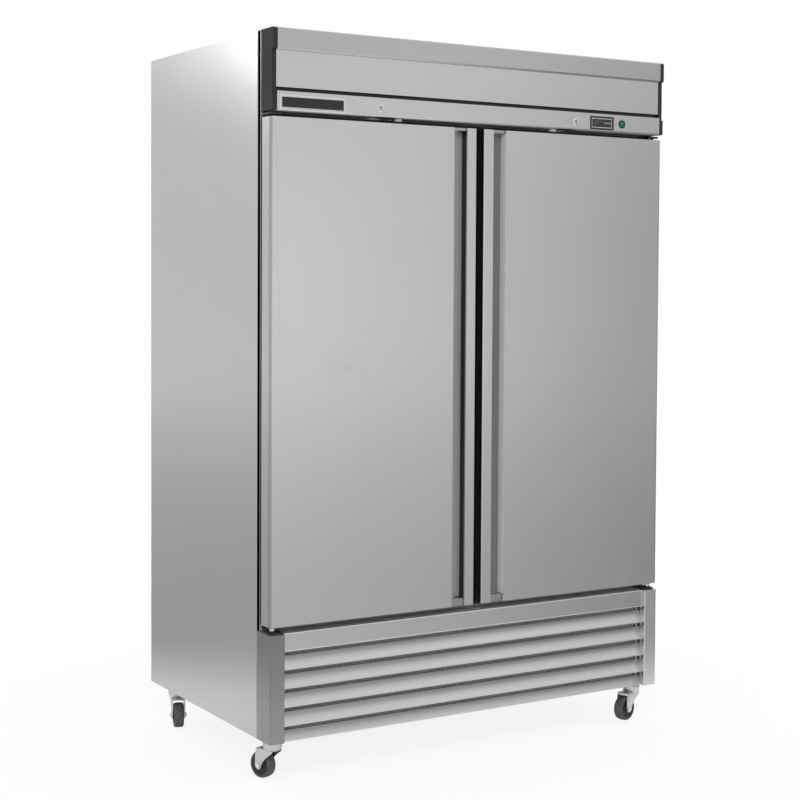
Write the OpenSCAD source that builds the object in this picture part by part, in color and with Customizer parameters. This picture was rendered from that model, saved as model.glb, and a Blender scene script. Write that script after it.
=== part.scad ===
// Two-door reach-in refrigerator, bottom mounted condensing unit, on swivel casters.
// Millimetres, +Z up, the doors face -Y. Origin: floor level, under the middle of the cabinet.

/* [Cabinet] */
// Overall width
cab_w = 1372; // [1300:1:1440]
// Door faces to the back edges of the side panels
cab_d = 840; // [800:1:900]
// Floor to the top of the cabinet
cab_top = 2086; // [2040:1:2140]
// Insulated wall, from outer face to inner face
wall_t = 60; // [50:1:70]
// Thickness of the outer and inner sheets
sheet = 0.8; // [0.6:0.1:1]
// Door faces to the front of the face frame
frame_y = 64; // [64:0.5:68]
// Thickness of the face frame
frame_t = 2; // [1.5:0.5:3]
// Depth of the centre mullion
mullion_d = 60; // [50:1:70]
// Half the width of the centre mullion
mullion_hw = 32; // [30:1:36]
// Height of the door opening's head above the floor
opening_top = 1800; // [1780:1:1810]
// How far the back sheets sit inside the side panels' edges
rear_inset = 2; // [1.5:0.5:3]

/* [Base] */
// Floor to the underside of the base
base_z = 118; // [110:1:130]
// Floor to the top of the base
base_top = 422; // [410:1:430]
// Width of a front post
post_w = 46; // [40:1:52]
// Depth of a front post along the side
post_d = 82; // [70:1:90]
// Thickness of the grille metal
grille_t = 1.2; // [1:0.1:2]
// Height of the top rail of the grille
rail_h = 52; // [46:1:60]
// Distance between louvre lips
louvre_pitch = 52.5; // [48:0.5:53]
// How far a louvre slopes inwards
louvre_d = 14; // [10:1:18]
// Open slot above each louvre
louvre_slot = 12; // [6:0.5:14]
// How far the grille sits behind the fronts of the posts
grille_in = 12; // [0:1:14]
// Depth of a post's inner flange
flange_d = 28; // [27:1:40]
// Thickness of the base pan
pan_t = 1.6; // [1.5:0.1:2]
// Leg of the steel angles in the base
angle_leg = 34; // [28:1:40]
// Thickness of the steel angles
angle_t = 3; // [2.5:0.5:4]

/* [Doors] */
// Height of a door
door_h = 1403; // [1395:1:1406]
// Gap between the base and the doors
door_low_gap = 21; // [19:1:24]
// Depth of a door without its gasket
door_t = 56; // [54:0.5:57]
// Gap between the two doors
door_gap = 25; // [20:1:28]
// Width of the flush lip beside the handle channel
lip_w = 34; // [30:1:42]
// Width of the handle channel
channel_w = 45; // [42:1:52]
// Depth of the handle channel
channel_d = 29; // [24:1:34]
// How far the channel reaches behind the lip
undercut = 16; // [12:1:18]
// Thickness of the lip at the undercut
lip_t = 7; // [5:1:9]
// Distance from the foot of a door to the handle channel
channel_end = 22; // [18:1:28]
// Distance from the top of a door to the handle channel
channel_top = 8; // [6:1:28]
// Depth of the shallow recess at the channel's ends
channel_step = 6; // [4:1:8]
// Radius of the outer vertical edge of a door
door_r = 9; // [6:1:10]
// Width of the gasket
gasket_w = 18; // [15:1:20]
// Depth that the inner plug of a door stands into the opening
plug_d = 18; // [12:1:22]
// Hinge axis from the cabinet's side
hinge_x = 18; // [17:0.5:19]
// Hinge axis behind the door face
hinge_y = 24; // [23:0.5:25]
// Radius of a hinge pin
pin_r = 5; // [4:0.5:6]
// Length of a hinge pin inside the door
pin_in = 22; // [16:1:26]
// Thickness of a hinge bracket
bracket_t = 5; // [4:0.5:6]

/* [Header] */
// Height of the visor at the top
visor_h = 59; // [54:1:64]
// How far the visor stands in front of the door faces
visor_out = 10; // [9:0.5:12]
// Height of the control fascia
fascia_h = 46; // [44:1:48]
// Gap between the doors and the control fascia
fascia_gap = 16; // [14:1:18]
// How far the fascia stands in front of the door faces
fascia_out = 7; // [6:0.5:8]
// Height of the groove above the fascia
groove_h = 18; // [14:1:22]
// Width of an end cap seen from the front
cap_w = 14; // [12:1:18]
// Thickness of the header's sheets
header_t = 1.2; // [1:0.1:1.5]
// Width of the bare nameplate
plate_w = 198; // [160:1:210]
// Height of the bare nameplate
plate_h = 34; // [28:1:36]
// Distance of the locks from the middle
lock_x = 345; // [330:1:360]
// Height of the lock axes above the fascia's lower edge
lock_up = 23; // [21:1:25]
// Radius of a lock's flange
lock_r = 12; // [11:0.5:13]
// Radius of a lock barrel
barrel_r = 7; // [6:0.5:8]
// Length of a lock cam from its axis
cam_len = 58; // [52:1:60]
// Width of a lock cam
cam_w = 9; // [8:1:10]
// Thickness of a lock cam
cam_t = 3; // [2:0.5:3]
// Place of a lock cam behind the door faces
cam_y = 17; // [16:0.5:18]
// Width of the controller's bezel
ctrl_w = 80; // [74:1:86]
// Height of the controller's bezel
ctrl_h = 30; // [28:1:32]
// Middle of the controller from the middle of the cabinet
ctrl_x = 444; // [435:1:450]
// Middle of the power switch from the middle of the cabinet
switch_x = 522; // [515:1:530]
// Radius of the power switch's bezel
switch_r = 13; // [12.5:0.1:13.5]
// Radius of the rocker
rocker_r = 8.8; // [8:0.1:8.9]
// Tilt of the rocker from its middle
rocker_tilt = 6; // [4:1:7]
// Width of a controller button
button_w = 7; // [5:0.5:8]
// Height of a controller button
button_h = 6; // [4:0.5:7]
// Travel of a controller button
button_travel = 0.5; // [0.4:0.1:0.8]

/* [Shelves] */
// Height of the lowest shelves
shelf_z = 760; // [720:1:800]
// Height between the shelves
shelf_pitch = 320; // [280:1:330]
// Shelves in each half
shelf_count = 3; // [1:1:3]
// Thickness of the shelf frame wire
shelf_bar = 6; // [5:0.5:8]
// Thickness of the shelf ribs
shelf_rib = 3; // [2.5:0.5:4]
// Distance between the shelf ribs
rib_pitch = 26; // [22:1:40]
// Depth of the slotted shelf strips
strip_d = 8; // [6:1:10]
// Width of the slotted shelf strips
strip_w = 20; // [16:1:24]
// Thickness of a shelf clip
clip_t = 4; // [3:0.5:5]

/* [Refrigeration] */
// Half the width of the evaporator housing
evap_hw = 430; // [400:1:460]
// Height of the evaporator housing
evap_h = 196; // [180:1:205]
// Depth of the evaporator housing
evap_d = 400; // [380:1:420]
// Radius of the evaporator fans
evap_fan_r = 92; // [80:1:96]
// Distance of the evaporator fans from the middle
evap_fan_x = 210; // [190:1:230]
// Radius of the condenser fan
cond_fan_r = 118; // [100:1:122]
// Half the width of the condenser coil
cond_hw = 200; // [180:1:220]
// Height of the condenser coil
cond_h = 270; // [260:1:280]
// Radius of the compressor
comp_r = 78; // [70:1:85]
// Height of the compressor shell
comp_h = 170; // [150:1:190]
// Radius of the refrigerant lines
line_r = 6; // [5:0.5:7]
// Room round a line where it passes through the wall
line_clear = 0.4; // [0.3:0.1:1]

/* [Casters] */
// Radius of a wheel
wheel_r = 38; // [36:0.5:39]
// Width of a wheel's tread
wheel_w = 30; // [26:1:32]
// Trail of a wheel behind its swivel axis
trail = 36; // [30:1:36]
// Swivel axes from the cabinet's sides
caster_in = 42; // [40:1:60]
// Front swivel axes behind the door faces
caster_front = 68; // [60:1:90]
// Rear swivel axes behind the door faces
caster_rear = 730; // [700:1:760]
// Size of the square caster plates
caster_plate = 72; // [66:1:74]
// Directions that the wheels trail in, front left, front right, rear left, rear right
caster_turn = [109, 195, 252, 160];

/* [Hidden] */
$fn = 64;
run_fit = 0.05; // running fit of pins and shafts
seat_fit = 0.3; // gap between a moving piece and what it runs beside
seam = 0.1; // open seam between separate sheets of one sub-part
elbow = 0.3; // how far a brazed elbow stands out of its tube
side_x = cab_w / 2; // outer face of a side panel
skin_x = side_x - sheet; // inner face of a side panel
cavity_x = side_x - wall_t; // outer face of the liner's side
room_x = cavity_x - sheet; // inner face of the liner's side
front = -(cab_d + visor_out) / 2 + visor_out; // the plane of the door faces
rear = front + cab_d;
function back(v) = front + v; // a place v behind the door faces
skin_y = rear - rear_inset - sheet; // inner face of the rear sheet
cavity_y = rear - wall_t;
room_y = cavity_y - sheet;
body_y = back(frame_y + frame_t); // front of the insulated body
header_y = body_y + mullion_d; // inner face of the insulated header
deck_z = base_top + 2; // underside of the insulated body
floor_z = deck_z + wall_t - 4; // underside of the liner's floor
room_z = floor_z + sheet;
door_z = base_top + door_low_gap;
door_top = door_z + door_h;
fascia_z = door_top + fascia_gap;
fascia_top = fascia_z + fascia_h;
panel_z = fascia_top + groove_h;
visor_z = cab_top - visor_h;
ceiling_z = cab_top - wall_t - sheet; // underside of the liner's ceiling
door_in = door_gap / 2; // free edge of a door from the middle
lip_x = door_in + lip_w;
channel_x = lip_x + channel_w;
hinge_at = side_x - hinge_x;
bush_s = 15; // half the size of the hinge bushing block
bush_h = pin_in + 6; // height of the hinge bushing block
gasket_t = frame_y - door_t - seat_fit;
gasket_x = hinge_at - 2.5; // outer edge of the gasket beside the hinge
plug_gap = 20; // room round the plug in the opening
plug_x0 = room_x - plug_gap; // outer side of the plug
plug_x1 = mullion_hw + plug_gap; // inner side of the plug
plug_t = 2;
cap_in = side_x - cap_w; // inner face of an end cap
lock_z = fascia_z + lock_up;
cam_gap = 4; // room round a swinging cam
cam_sweep = norm([cam_len, cam_w / 2]);
function cam_reach(z) = sqrt(pow(cam_sweep, 2) - pow(lock_z - z, 2)); // how far out it passes z
slot_d = cam_t + 2 * cam_gap;
ctrl_z = fascia_z + 24.5;
switch_z = fascia_z + 25;
steel = [0.72, 0.73, 0.74];
dark = [0.12, 0.12, 0.13];
white = [0.93, 0.93, 0.92];
zinc = [0.78, 0.79, 0.8];
copper = [0.72, 0.42, 0.26];

// A box between two corners
module slab(lo, hi) {
    translate(lo) cube(hi - lo);
}

// A piece and its mirror image
module both() {
    children();
    mirror([1, 0, 0]) children();
}

// Points on an arc about c
function arc(c, r, a0, a1, n = 6) =
    [for (i = [0:n]) c + r * [cos(a0 + (a1 - a0) * i / n), sin(a0 + (a1 - a0) * i / n)]];

// A profile drawn in depth and height, pulled along X
module pulled(x0, x1, points) {
    translate([x0, 0, 0]) rotate([90, 0, 90]) linear_extrude(x1 - x0) polygon(points);
}

// A round tube along runs that each follow one axis
module tube_run(points, r) {
    for (i = [0:len(points) - 2]) {
        a = points[i];
        run = points[i + 1] - a;
        turn = run[0] != 0 ? [0, 90 * sign(run[0]), 0]
            : run[1] != 0 ? [-90 * sign(run[1]), 0, 0]
            : run[2] > 0 ? [0, 0, 0] : [180, 0, 0];
        translate(a) rotate(turn) cylinder(r = r, h = norm(run));
        if (i > 0) translate(a) sphere(r + elbow);
    }
}

// A cylinder along +Y from y0 to y1
module rod_y(x, z, r, y0, y1) {
    translate([x, y0, z]) rotate([-90, 0, 0]) cylinder(r = r, h = y1 - y0);
}

// ---- cabinet shell ----

// Left side sheet: stops behind the front post in the base and behind the doors above it
module side_panel() {
    pulled(-side_x, -skin_x, [
        [back(post_d), base_z], [rear, base_z], [rear, cab_top - sheet],
        [body_y, cab_top - sheet], [body_y, base_top], [back(post_d), base_top]
    ]);
}

module left_side_panel() color(steel) side_panel();

module right_side_panel() color(steel) mirror([1, 0, 0]) side_panel();

module rear_panel() color(steel) {
    slab([-skin_x, skin_y, deck_z], [skin_x, skin_y + sheet, cab_top - sheet]);
}

module top_panel() color(steel) {
    slab([-side_x, body_y, cab_top - sheet], [side_x, rear, cab_top]);
}

// Places where the refrigerant lines rise in the rear wall
riser_x = 90;
riser_gap = 40;
riser_y = rear - wall_t / 2 - 4;
coil_line_z = ceiling_z - 60;

module line_bores(r) {
    for (x = [riser_x, riser_x + riser_gap]) {
        translate([x, riser_y, deck_z - 1]) cylinder(r = r, h = coil_line_z - deck_z + 1 + r);
        rod_y(x, coil_line_z, r, room_y - 1, riser_y);
    }
}

// Foam between the outer sheets and the liner, one block round the cavity
module insulation_foam() color([0.93, 0.86, 0.62]) {
    difference() {
        slab([-skin_x, body_y, deck_z + sheet], [skin_x, skin_y, cab_top - sheet]);
        slab([-cavity_x, header_y - sheet, floor_z], [cavity_x, cavity_y, ceiling_z + sheet]);
        slab([-cavity_x, body_y - 1, floor_z], [cavity_x, header_y, opening_top]);
        line_bores(line_r + line_clear);
    }
}

// Inner sheets, each one flat, with an open seam where two meet
module inner_liner() color(white) {
    head_y = header_y - sheet;
    x = room_x - seam;
    both() slab([-cavity_x, body_y, floor_z], [-room_x, cavity_y, opening_top - sheet - seam]);
    both() slab([-cavity_x, head_y, opening_top - sheet], [-room_x, cavity_y, ceiling_z + sheet]);
    difference() {
        slab([-x, room_y, floor_z], [x, cavity_y, ceiling_z + sheet]);
        line_bores(line_r + line_clear);
    }
    slab([-x, body_y, floor_z], [x, room_y - seam, room_z]);
    slab([-x, head_y, ceiling_z], [x, room_y - seam, ceiling_z + sheet]);
    slab([-x, head_y, opening_top + seam], [x, header_y, ceiling_z - seam]);
    slab([-x, body_y, opening_top - sheet], [x, header_y, opening_top]);
}

// Flat frame round the opening that the gaskets close on, with the centre mullion
module face_frame() color(steel) {
    y0 = back(frame_y);
    head = opening_top - sheet;
    centre_mullion();
    both() slab([-side_x, y0, room_z + seam], [-room_x, body_y, head - seam]);
    slab([-side_x, y0, deck_z], [side_x, body_y, room_z]);
    slab([-side_x, y0, head], [side_x, body_y, cab_top]);
}

// Hollow post between the two openings
module centre_mullion() {
    z0 = room_z + seam;
    z1 = opening_top - sheet - seam;
    y0 = back(frame_y);
    difference() {
        slab([-mullion_hw, y0, z0], [mullion_hw, header_y, z1]);
        slab([-mullion_hw + frame_t, y0 + frame_t, z0 - 1],
            [mullion_hw - frame_t, header_y - frame_t, z1 + 1]);
    }
}

// ---- header ----

module header_visor() color(steel) {
    y0 = back(-visor_out);
    yb = back(frame_y);
    t = header_t;
    pulled(-cap_in, cap_in, [
        [yb, cab_top], [y0 + 4, cab_top], [y0, cab_top - 4], [y0, visor_z + 4],
        [y0 + 4, visor_z], [back(2), visor_z], [back(2), visor_z + t],
        [y0 + 4 + t, visor_z + t], [y0 + t, visor_z + 4 + t],
        [y0 + t, cab_top - 4 - t], [y0 + 4 + t, cab_top - t], [yb, cab_top - t]
    ]);
}

// Flat panel under the visor, on ribs that stand on the face frame
module header_panel() color(steel) {
    y0 = back(0);
    y1 = y0 + header_t + seam;
    z1 = panel_z + header_t + seam;
    slab([-cap_in, y0, panel_z], [cap_in, y0 + header_t, visor_z]);
    slab([-cap_in, y1, panel_z], [cap_in, back(frame_y), panel_z + header_t]);
    for (x = [-0.95, -0.35, 0.35, 0.95] * cap_in)
        slab([x - header_t, y1, z1], [x + header_t, back(frame_y), visor_z]);
}

module fascia_holes() {
    both() rod_y(-lock_x, lock_z, lock_r - 2, back(-visor_out - 1), back(4));
    rod_y(switch_x, switch_z, switch_r - 2, back(-visor_out - 1), back(4));
    slab([ctrl_x - ctrl_w / 2 + 3, back(-visor_out - 1), ctrl_z - ctrl_h / 2 + 3],
        [ctrl_x + ctrl_w / 2 - 3, back(4), ctrl_z + ctrl_h / 2 - 3]);
}

// Space that the left cam needs from z0 to z1, as wide as it sweeps at height z
module cam_slot(z, z0, z1) {
    y0 = back(cam_y + cam_t / 2);
    slab([-lock_x - cam_w / 2 - cam_gap, y0 - slot_d / 2, z0],
        [-lock_x + cam_reach(z) + cam_gap, y0 + slot_d / 2, z1]);
}

// Folded fascia: front face, upper return and a lower return that reaches the face frame
module control_fascia() color(steel) {
    y0 = back(-fascia_out);
    yb = back(frame_y);
    t = header_t;
    difference() {
        pulled(-cap_in, cap_in, [
            [yb, fascia_z], [y0 + 3, fascia_z], [y0, fascia_z + 3], [y0, fascia_top - 3],
            [y0 + 3, fascia_top], [yb, fascia_top], [yb, fascia_top - t],
            [y0 + 3 + t, fascia_top - t], [y0 + t, fascia_top - 3 - t],
            [y0 + t, fascia_z + 3 + t], [y0 + 3 + t, fascia_z + t], [yb, fascia_z + t]
        ]);
        fascia_holes();
        both() cam_slot(fascia_z + t, fascia_z - 1, fascia_z + t + 1);
    }
}

// Moulded caps that close the header's ends and follow its front
module header_end_caps() color(dark) {
    y0 = back(-visor_out);
    yf = back(-fascia_out);
    ym = back(-1);
    yb = back(frame_y);
    t = 2;
    both() difference() {
        pulled(-side_x, -cap_in, [
            [yb, cab_top], [y0 + 4, cab_top], [y0, cab_top - 4], [y0, visor_z + 3],
            [y0 + 3, visor_z], [ym, visor_z], [ym, fascia_top], [yf + 2, fascia_top],
            [yf, fascia_top - 2], [yf, fascia_z + 3], [yf + 3, fascia_z], [yb, fascia_z]
        ]);
        slab([-side_x + t, ym + t, fascia_z + t], [-cap_in + 1, yb + 1, cab_top - t]);
    }
}

// Bare plate with a raised rim
module nameplate() {
    x0 = -side_x + cap_w + 12;
    z0 = fascia_z + 6;
    y0 = back(-fascia_out);
    rim = 3;
    color(dark) difference() {
        slab([x0, y0 - 1.6, z0], [x0 + plate_w, y0, z0 + plate_h]);
        slab([x0 + rim, y0 - 2, z0 + rim], [x0 + plate_w - rim, y0 - 0.8, z0 + plate_h - rim]);
    }
}

// ---- controls ----

button_gap = 2.5;
button_x = [for (i = [0:2]) ctrl_x + 10 + i * (button_w + button_gap)];
button_fit = 0.2; // gap round a button
bezel_y = back(-fascia_out - 2);
pocket_y = bezel_y + button_travel + 1.4;

// Bezel and body of the temperature controller, with a display window and three pockets
module controller() color(dark) {
    y0 = back(-fascia_out);
    difference() {
        union() {
            slab([ctrl_x - ctrl_w / 2, bezel_y, ctrl_z - ctrl_h / 2],
                [ctrl_x + ctrl_w / 2, y0, ctrl_z + ctrl_h / 2]);
            slab([ctrl_x - ctrl_w / 2 + 3.5, y0, ctrl_z - ctrl_h / 2 + 3.5],
                [ctrl_x + ctrl_w / 2 - 3.5, back(45), ctrl_z + ctrl_h / 2 - 3.5]);
        }
        slab([ctrl_x - ctrl_w / 2 + 6, bezel_y - 1, ctrl_z - ctrl_h / 2 + 6],
            [ctrl_x, bezel_y + 0.8, ctrl_z + ctrl_h / 2 - 6]);
        for (x = button_x) slab(
            [x - button_w / 2 - button_fit, bezel_y - 1, ctrl_z - button_h / 2 - button_fit],
            [x + button_w / 2 + button_fit, pocket_y, ctrl_z + button_h / 2 + button_fit]);
    }
}

module button(i) color(zinc) {
    x = button_x[i];
    slab([x - button_w / 2, bezel_y - 0.6, ctrl_z - button_h / 2],
        [x + button_w / 2, pocket_y - button_travel - seat_fit, ctrl_z + button_h / 2]);
}

module set_button() button(0);

module up_button() button(1);

module down_button() button(2);

rocker_y = back(-6); // axis of the rocker
axle_r = 1.2;
switch_bore = rocker_r + 0.6;

module switch_bezel() color(dark) {
    difference() {
        union() {
            rod_y(switch_x, switch_z, switch_r, back(-fascia_out - 2), back(-fascia_out));
            rod_y(switch_x, switch_z, switch_r - 2.3, back(-fascia_out), back(22));
        }
        rod_y(switch_x, switch_z, switch_bore, back(-fascia_out - 3), back(-4));
        translate([switch_x - switch_bore - 0.9, rocker_y, switch_z]) rotate([0, 90, 0])
            cylinder(r = axle_r + run_fit, h = 2 * switch_bore + 1.8);
    }
}

// Round rocker on a short axle, tilted to its on position
module power_rocker() color([0.05, 0.5, 0.32]) {
    translate([switch_x, rocker_y, switch_z]) rotate([rocker_tilt, 0, 0]) {
        rod_y(0, 0, rocker_r, -3, 0);
        translate([-switch_bore - 0.7, 0, 0]) rotate([0, 90, 0])
            cylinder(r = axle_r, h = 2 * switch_bore + 1.4);
    }
}

module lock_housings() color(zinc) {
    both() difference() {
        union() {
            rod_y(-lock_x, lock_z, lock_r, back(-fascia_out - 2.4), back(-fascia_out));
            rod_y(-lock_x, lock_z, lock_r - 2.4, back(-fascia_out), back(cam_y) - seat_fit);
        }
        rod_y(-lock_x, lock_z, barrel_r + run_fit, back(-visor_out - 1), back(cam_y));
    }
}

// Keyed barrel with its cam lying level, unlocked
module lock_barrel() color(zinc) {
    y0 = back(-fascia_out - 2.8);
    difference() {
        rod_y(-lock_x, lock_z, barrel_r, y0, back(cam_y));
        slab([-lock_x - 1, y0 - 1, lock_z - 4], [-lock_x + 1, y0 + 3, lock_z + 4]);
    }
    slab([-lock_x - barrel_r, back(cam_y), lock_z - cam_w / 2],
        [-lock_x + cam_len, back(cam_y + cam_t), lock_z + cam_w / 2]);
}

module left_lock_barrel() lock_barrel();

module right_lock_barrel() mirror([1, 0, 0]) lock_barrel();

// Sensors under the fascia that see the doors open
module door_switches() color(white) {
    x = 273;
    both() slab([-x - 10, back(12), fascia_z - 9], [-x + 10, back(28), fascia_z]);
}

// ---- hinges and doors ----

// Brackets above and below each door, each with its pin
module hinge_brackets() color(zinc) {
    y0 = back(6);
    yb = back(frame_y);
    x0 = -side_x + 2;
    x1 = x0 + 42;
    low = base_top + bracket_t;
    high = fascia_z - 5 - bracket_t;
    both() {
        slab([x0, y0, base_top], [x1, yb, low]);
        translate([-hinge_at, back(hinge_y), low]) {
            cylinder(r = pin_r, h = door_z + pin_in - low);
            cylinder(r = pin_r + 4, h = door_z - low - seat_fit);
        }
    }
    both() {
        slab([x0, y0, high], [x1, yb, high + bracket_t]);
        translate([-hinge_at, back(hinge_y), door_top - pin_in])
            cylinder(r = pin_r, h = high - door_top + pin_in);
    }
}

// Outline of a door seen from above, inset by g
function door_outline(g) = concat(
    arc([-side_x + door_r, back(door_r)], door_r - g, 180, 270),
    arc([-door_in - 4, back(4)], 4 - g, 270, 360),
    [[-door_in - g, back(door_t)], [-side_x + g, back(door_t)]]
);

// The handle channel, grown by g on every side
module channel_void(g) {
    z0 = door_z + channel_end - g;
    z1 = door_top - channel_top + g;
    f = g > 0 ? back(0) : back(-1);
    slab([-channel_x - g, f, z0], [-lip_x + g, back(channel_d + g), z1]);
    slab([-lip_x - 1, back(lip_t - g), z0], [-lip_x + undercut + g, back(channel_d + g), z1]);
}

// The shallow recesses above and below the channel, grown by g
module channel_steps(g) {
    f = g > 0 ? back(0) : back(-1);
    low = door_z - (g > 0 ? 0 : 1);
    high = door_top + (g > 0 ? 0 : 1);
    for (z = [[low, door_z + channel_end + 1], [door_top - channel_top - 1, high]])
        slab([-channel_x - g, f, z[0]], [-lip_x + g, back(channel_step + g), z[1]]);
}

module bush_blocks() {
    for (z = [door_z + sheet, door_top - sheet - bush_h])
        slab([-hinge_at - bush_s, back(hinge_y) - bush_s, z],
            [-hinge_at + bush_s, back(hinge_y) + bush_s, z + bush_h]);
}

module pin_bores() {
    translate([-hinge_at, back(hinge_y), 0]) {
        translate([0, 0, door_z - 1]) cylinder(r = pin_r + run_fit, h = pin_in + 2);
        translate([0, 0, door_top - pin_in - 1]) cylinder(r = pin_r + run_fit, h = pin_in + 2);
    }
}

// Pocket in the door's top that the lock cam swings down into
pocket_z = lock_z - cam_sweep - cam_gap;
pocket_x0 = -lock_x - cam_w / 2 - cam_gap;
pocket_x1 = -lock_x + cam_reach(door_top) + cam_gap;
pocket_front = back(cam_y + cam_t / 2) - slot_d / 2;

module lock_pocket() {
    slab([pocket_x0, pocket_front, pocket_z], [pocket_x1, pocket_front + slot_d, door_top + 1]);
}

// Folded outer skin of the left door with its handle channel
module door_skin() {
    difference() {
        union() {
            difference() {
                translate([0, 0, door_z]) linear_extrude(door_h) polygon(door_outline(0));
                translate([0, 0, door_z + sheet]) linear_extrude(door_h - 2 * sheet)
                    polygon(door_outline(sheet));
                slab([-side_x + sheet, back(door_t - 2 * sheet), door_z + sheet],
                    [-door_in - sheet, back(door_t + 1), door_top - sheet]);
            }
            channel_void(sheet);
            channel_steps(sheet);
            bush_blocks();
        }
        channel_void(0);
        channel_steps(0);
        pin_bores();
        lock_pocket();
    }
}

// Back sheet of the left door and the plug that stands into the opening
module door_liner() {
    y0 = back(door_t - sheet);
    x0 = -side_x + sheet;
    x1 = -door_in - sheet;
    slab([x0, y0, door_z + sheet], [x1, back(door_t), door_top - sheet]);
    difference() {
        slab([-plug_x0, back(door_t) + seam, room_z + plug_gap],
            [-plug_x1, back(door_t + plug_d), opening_top - plug_gap]);
        slab([-plug_x0 + plug_t, back(door_t) - 1, room_z + plug_gap + plug_t],
            [-plug_x1 - plug_t, back(door_t + plug_d) - plug_t, opening_top - plug_gap - plug_t]);
    }
}

// A block of foam cut to the door's rounded outline
module foam_block(lo, hi) {
    intersection() {
        translate([0, 0, door_z]) linear_extrude(door_h) polygon(door_outline(sheet));
        slab(lo, hi);
    }
}

// Foam of the left door in blocks round the handle channel, the bushes and the pocket
module door_foam() {
    yf = back(sheet);
    yb = back(door_t - sheet);
    z0 = door_z + sheet;
    z1 = door_top - sheet;
    low = z0 + bush_h;
    high = min(z1 - bush_h, pocket_z) - seam;
    ends = -hinge_at + bush_s + seam;
    outer = -channel_x - sheet;
    lip = -lip_x + sheet;
    inner = lip + undercut;
    c0 = door_z + channel_end - sheet;
    c1 = door_top - channel_top + sheet;
    foam_block([-side_x, back(0), low + seam], [outer - seam, yb, high]);
    foam_block([inner + seam, back(0), z0], [0, yb, z1]);
    slab([outer, back(channel_d + sheet), c0], [inner, yb, c1]);
    slab([lip, yf, c0], [inner, back(lip_t - sheet), c1]);
    for (z = [[z0, c0 - seam], [c1 + seam, z1]]) {
        slab([outer, back(channel_step + sheet), z[0]], [lip - seam, yb, z[1]]);
        slab([lip, yf, z[0]], [inner, yb, z[1]]);
    }
    slab([ends, yf, z0], [outer - seam, yb, low]);
    slab([ends, yf, high + seam], [pocket_x0, yb, z1]);
    slab([pocket_x1, yf, high + seam], [outer - seam, yb, z1]);
    slab([pocket_x0 + seam, yf, high + seam], [pocket_x1 - seam, pocket_front, z1]);
    slab([pocket_x0 + seam, pocket_front + slot_d, high + seam], [pocket_x1 - seam, yb, z1]);
}

// Magnetic gasket: four straight lengths
module door_gasket() {
    y0 = back(door_t);
    y1 = y0 + gasket_t;
    x0 = -gasket_x;
    x1 = -door_in - sheet;
    z0 = door_z + 6;
    z1 = door_top - 6;
    slab([x0, y0, z0], [x1, y1, z0 + gasket_w]);
    slab([x0, y0, z1 - gasket_w], [x1, y1, z1]);
    for (x = [x0, x1 - gasket_w])
        slab([x, y0, z0 + gasket_w + seam], [x + gasket_w, y1, z1 - gasket_w - seam]);
}

module left_door_skin() color(steel) door_skin();

module right_door_skin() color(steel) mirror([1, 0, 0]) door_skin();

module left_door_liner() color(white) door_liner();

module right_door_liner() color(white) mirror([1, 0, 0]) door_liner();

module left_door_foam() color([0.93, 0.86, 0.62]) door_foam();

module right_door_foam() color([0.93, 0.86, 0.62]) mirror([1, 0, 0]) door_foam();

module left_door_gasket() color(dark) door_gasket();

module right_door_gasket() color(dark) mirror([1, 0, 0]) door_gasket();

// ---- shelves ----

shelf_y0 = header_y + strip_d + 6;
shelf_y1 = room_y - strip_d - 8;
shelf_x0 = -room_x + strip_d + 3;
shelf_x1 = -6;
strip_side_y = [shelf_y0 + 60, shelf_y1 - 60];
function shelf_level(i) = shelf_z + i * shelf_pitch;

module one_shelf(z) {
    b = shelf_bar;
    for (y = [shelf_y0, (shelf_y0 + shelf_y1 - b) / 2, shelf_y1 - b])
        slab([shelf_x0, y, z], [shelf_x1, y + b, z + b]);
    for (x = [shelf_x0, shelf_x1 - b]) slab([x, shelf_y0, z], [x + b, shelf_y1, z + b]);
    ribs = floor((shelf_x1 - shelf_x0 - 2 * b) / rib_pitch);
    step = (shelf_x1 - shelf_x0 - shelf_rib) / (ribs + 1);
    for (i = [0:ribs + 1]) {
        x = shelf_x0 + i * step;
        slab([x, shelf_y0, z + b], [x + shelf_rib, shelf_y1, z + b + shelf_rib]);
    }
}

module wire_shelves() color(white) {
    both() for (i = [0:shelf_count - 1]) one_shelf(shelf_level(i));
}

// Slotted strips on the walls and the mullion, and the clips that carry the shelves
module shelf_supports() color(zinc) {
    z0 = room_z + 60;
    z1 = opening_top - 60;
    clip = 20;
    wall_x = -room_x + strip_d + seam;
    both() for (y = strip_side_y)
        slab([-room_x, y - strip_w / 2, z0], [-room_x + strip_d, y + strip_w / 2, z1]);
    both() slab([-mullion_hw + 4, header_y, z0], [-4, header_y + strip_d, z1]);
    both() slab([-mullion_hw + 4, room_y - strip_d, z0], [-4, room_y, z1]);
    both() for (i = [0:shelf_count - 1]) {
        z = shelf_level(i);
        for (y = strip_side_y)
            slab([wall_x, y - clip / 2, z - clip_t], [wall_x + clip, y + clip / 2, z]);
        slab([-mullion_hw + 4, header_y + strip_d + seam, z - clip_t], [-6, shelf_y0 + clip, z]);
        slab([-mullion_hw + 4, shelf_y1 - clip, z - clip_t], [-6, room_y - strip_d - seam, z]);
    }
}

// ---- evaporator ----

evap_t = 1.5;
evap_y0 = header_y + 40;
evap_y1 = evap_y0 + evap_d;
evap_z = ceiling_z - evap_h;
evap_fan_y = evap_y0 + 130;
evap_fan_z = evap_z + 8;
coil_y0 = evap_y1 - 130;
coil_d = 80;
coil_hw = evap_hw - 30;
coil_z = evap_z + evap_t;
coil_h = ceiling_z - 10 - coil_z;
coil_end = 10; // how far the coils' tubes stand out of their fins
evap_rows = 5;
cond_rows = 5;

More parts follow.
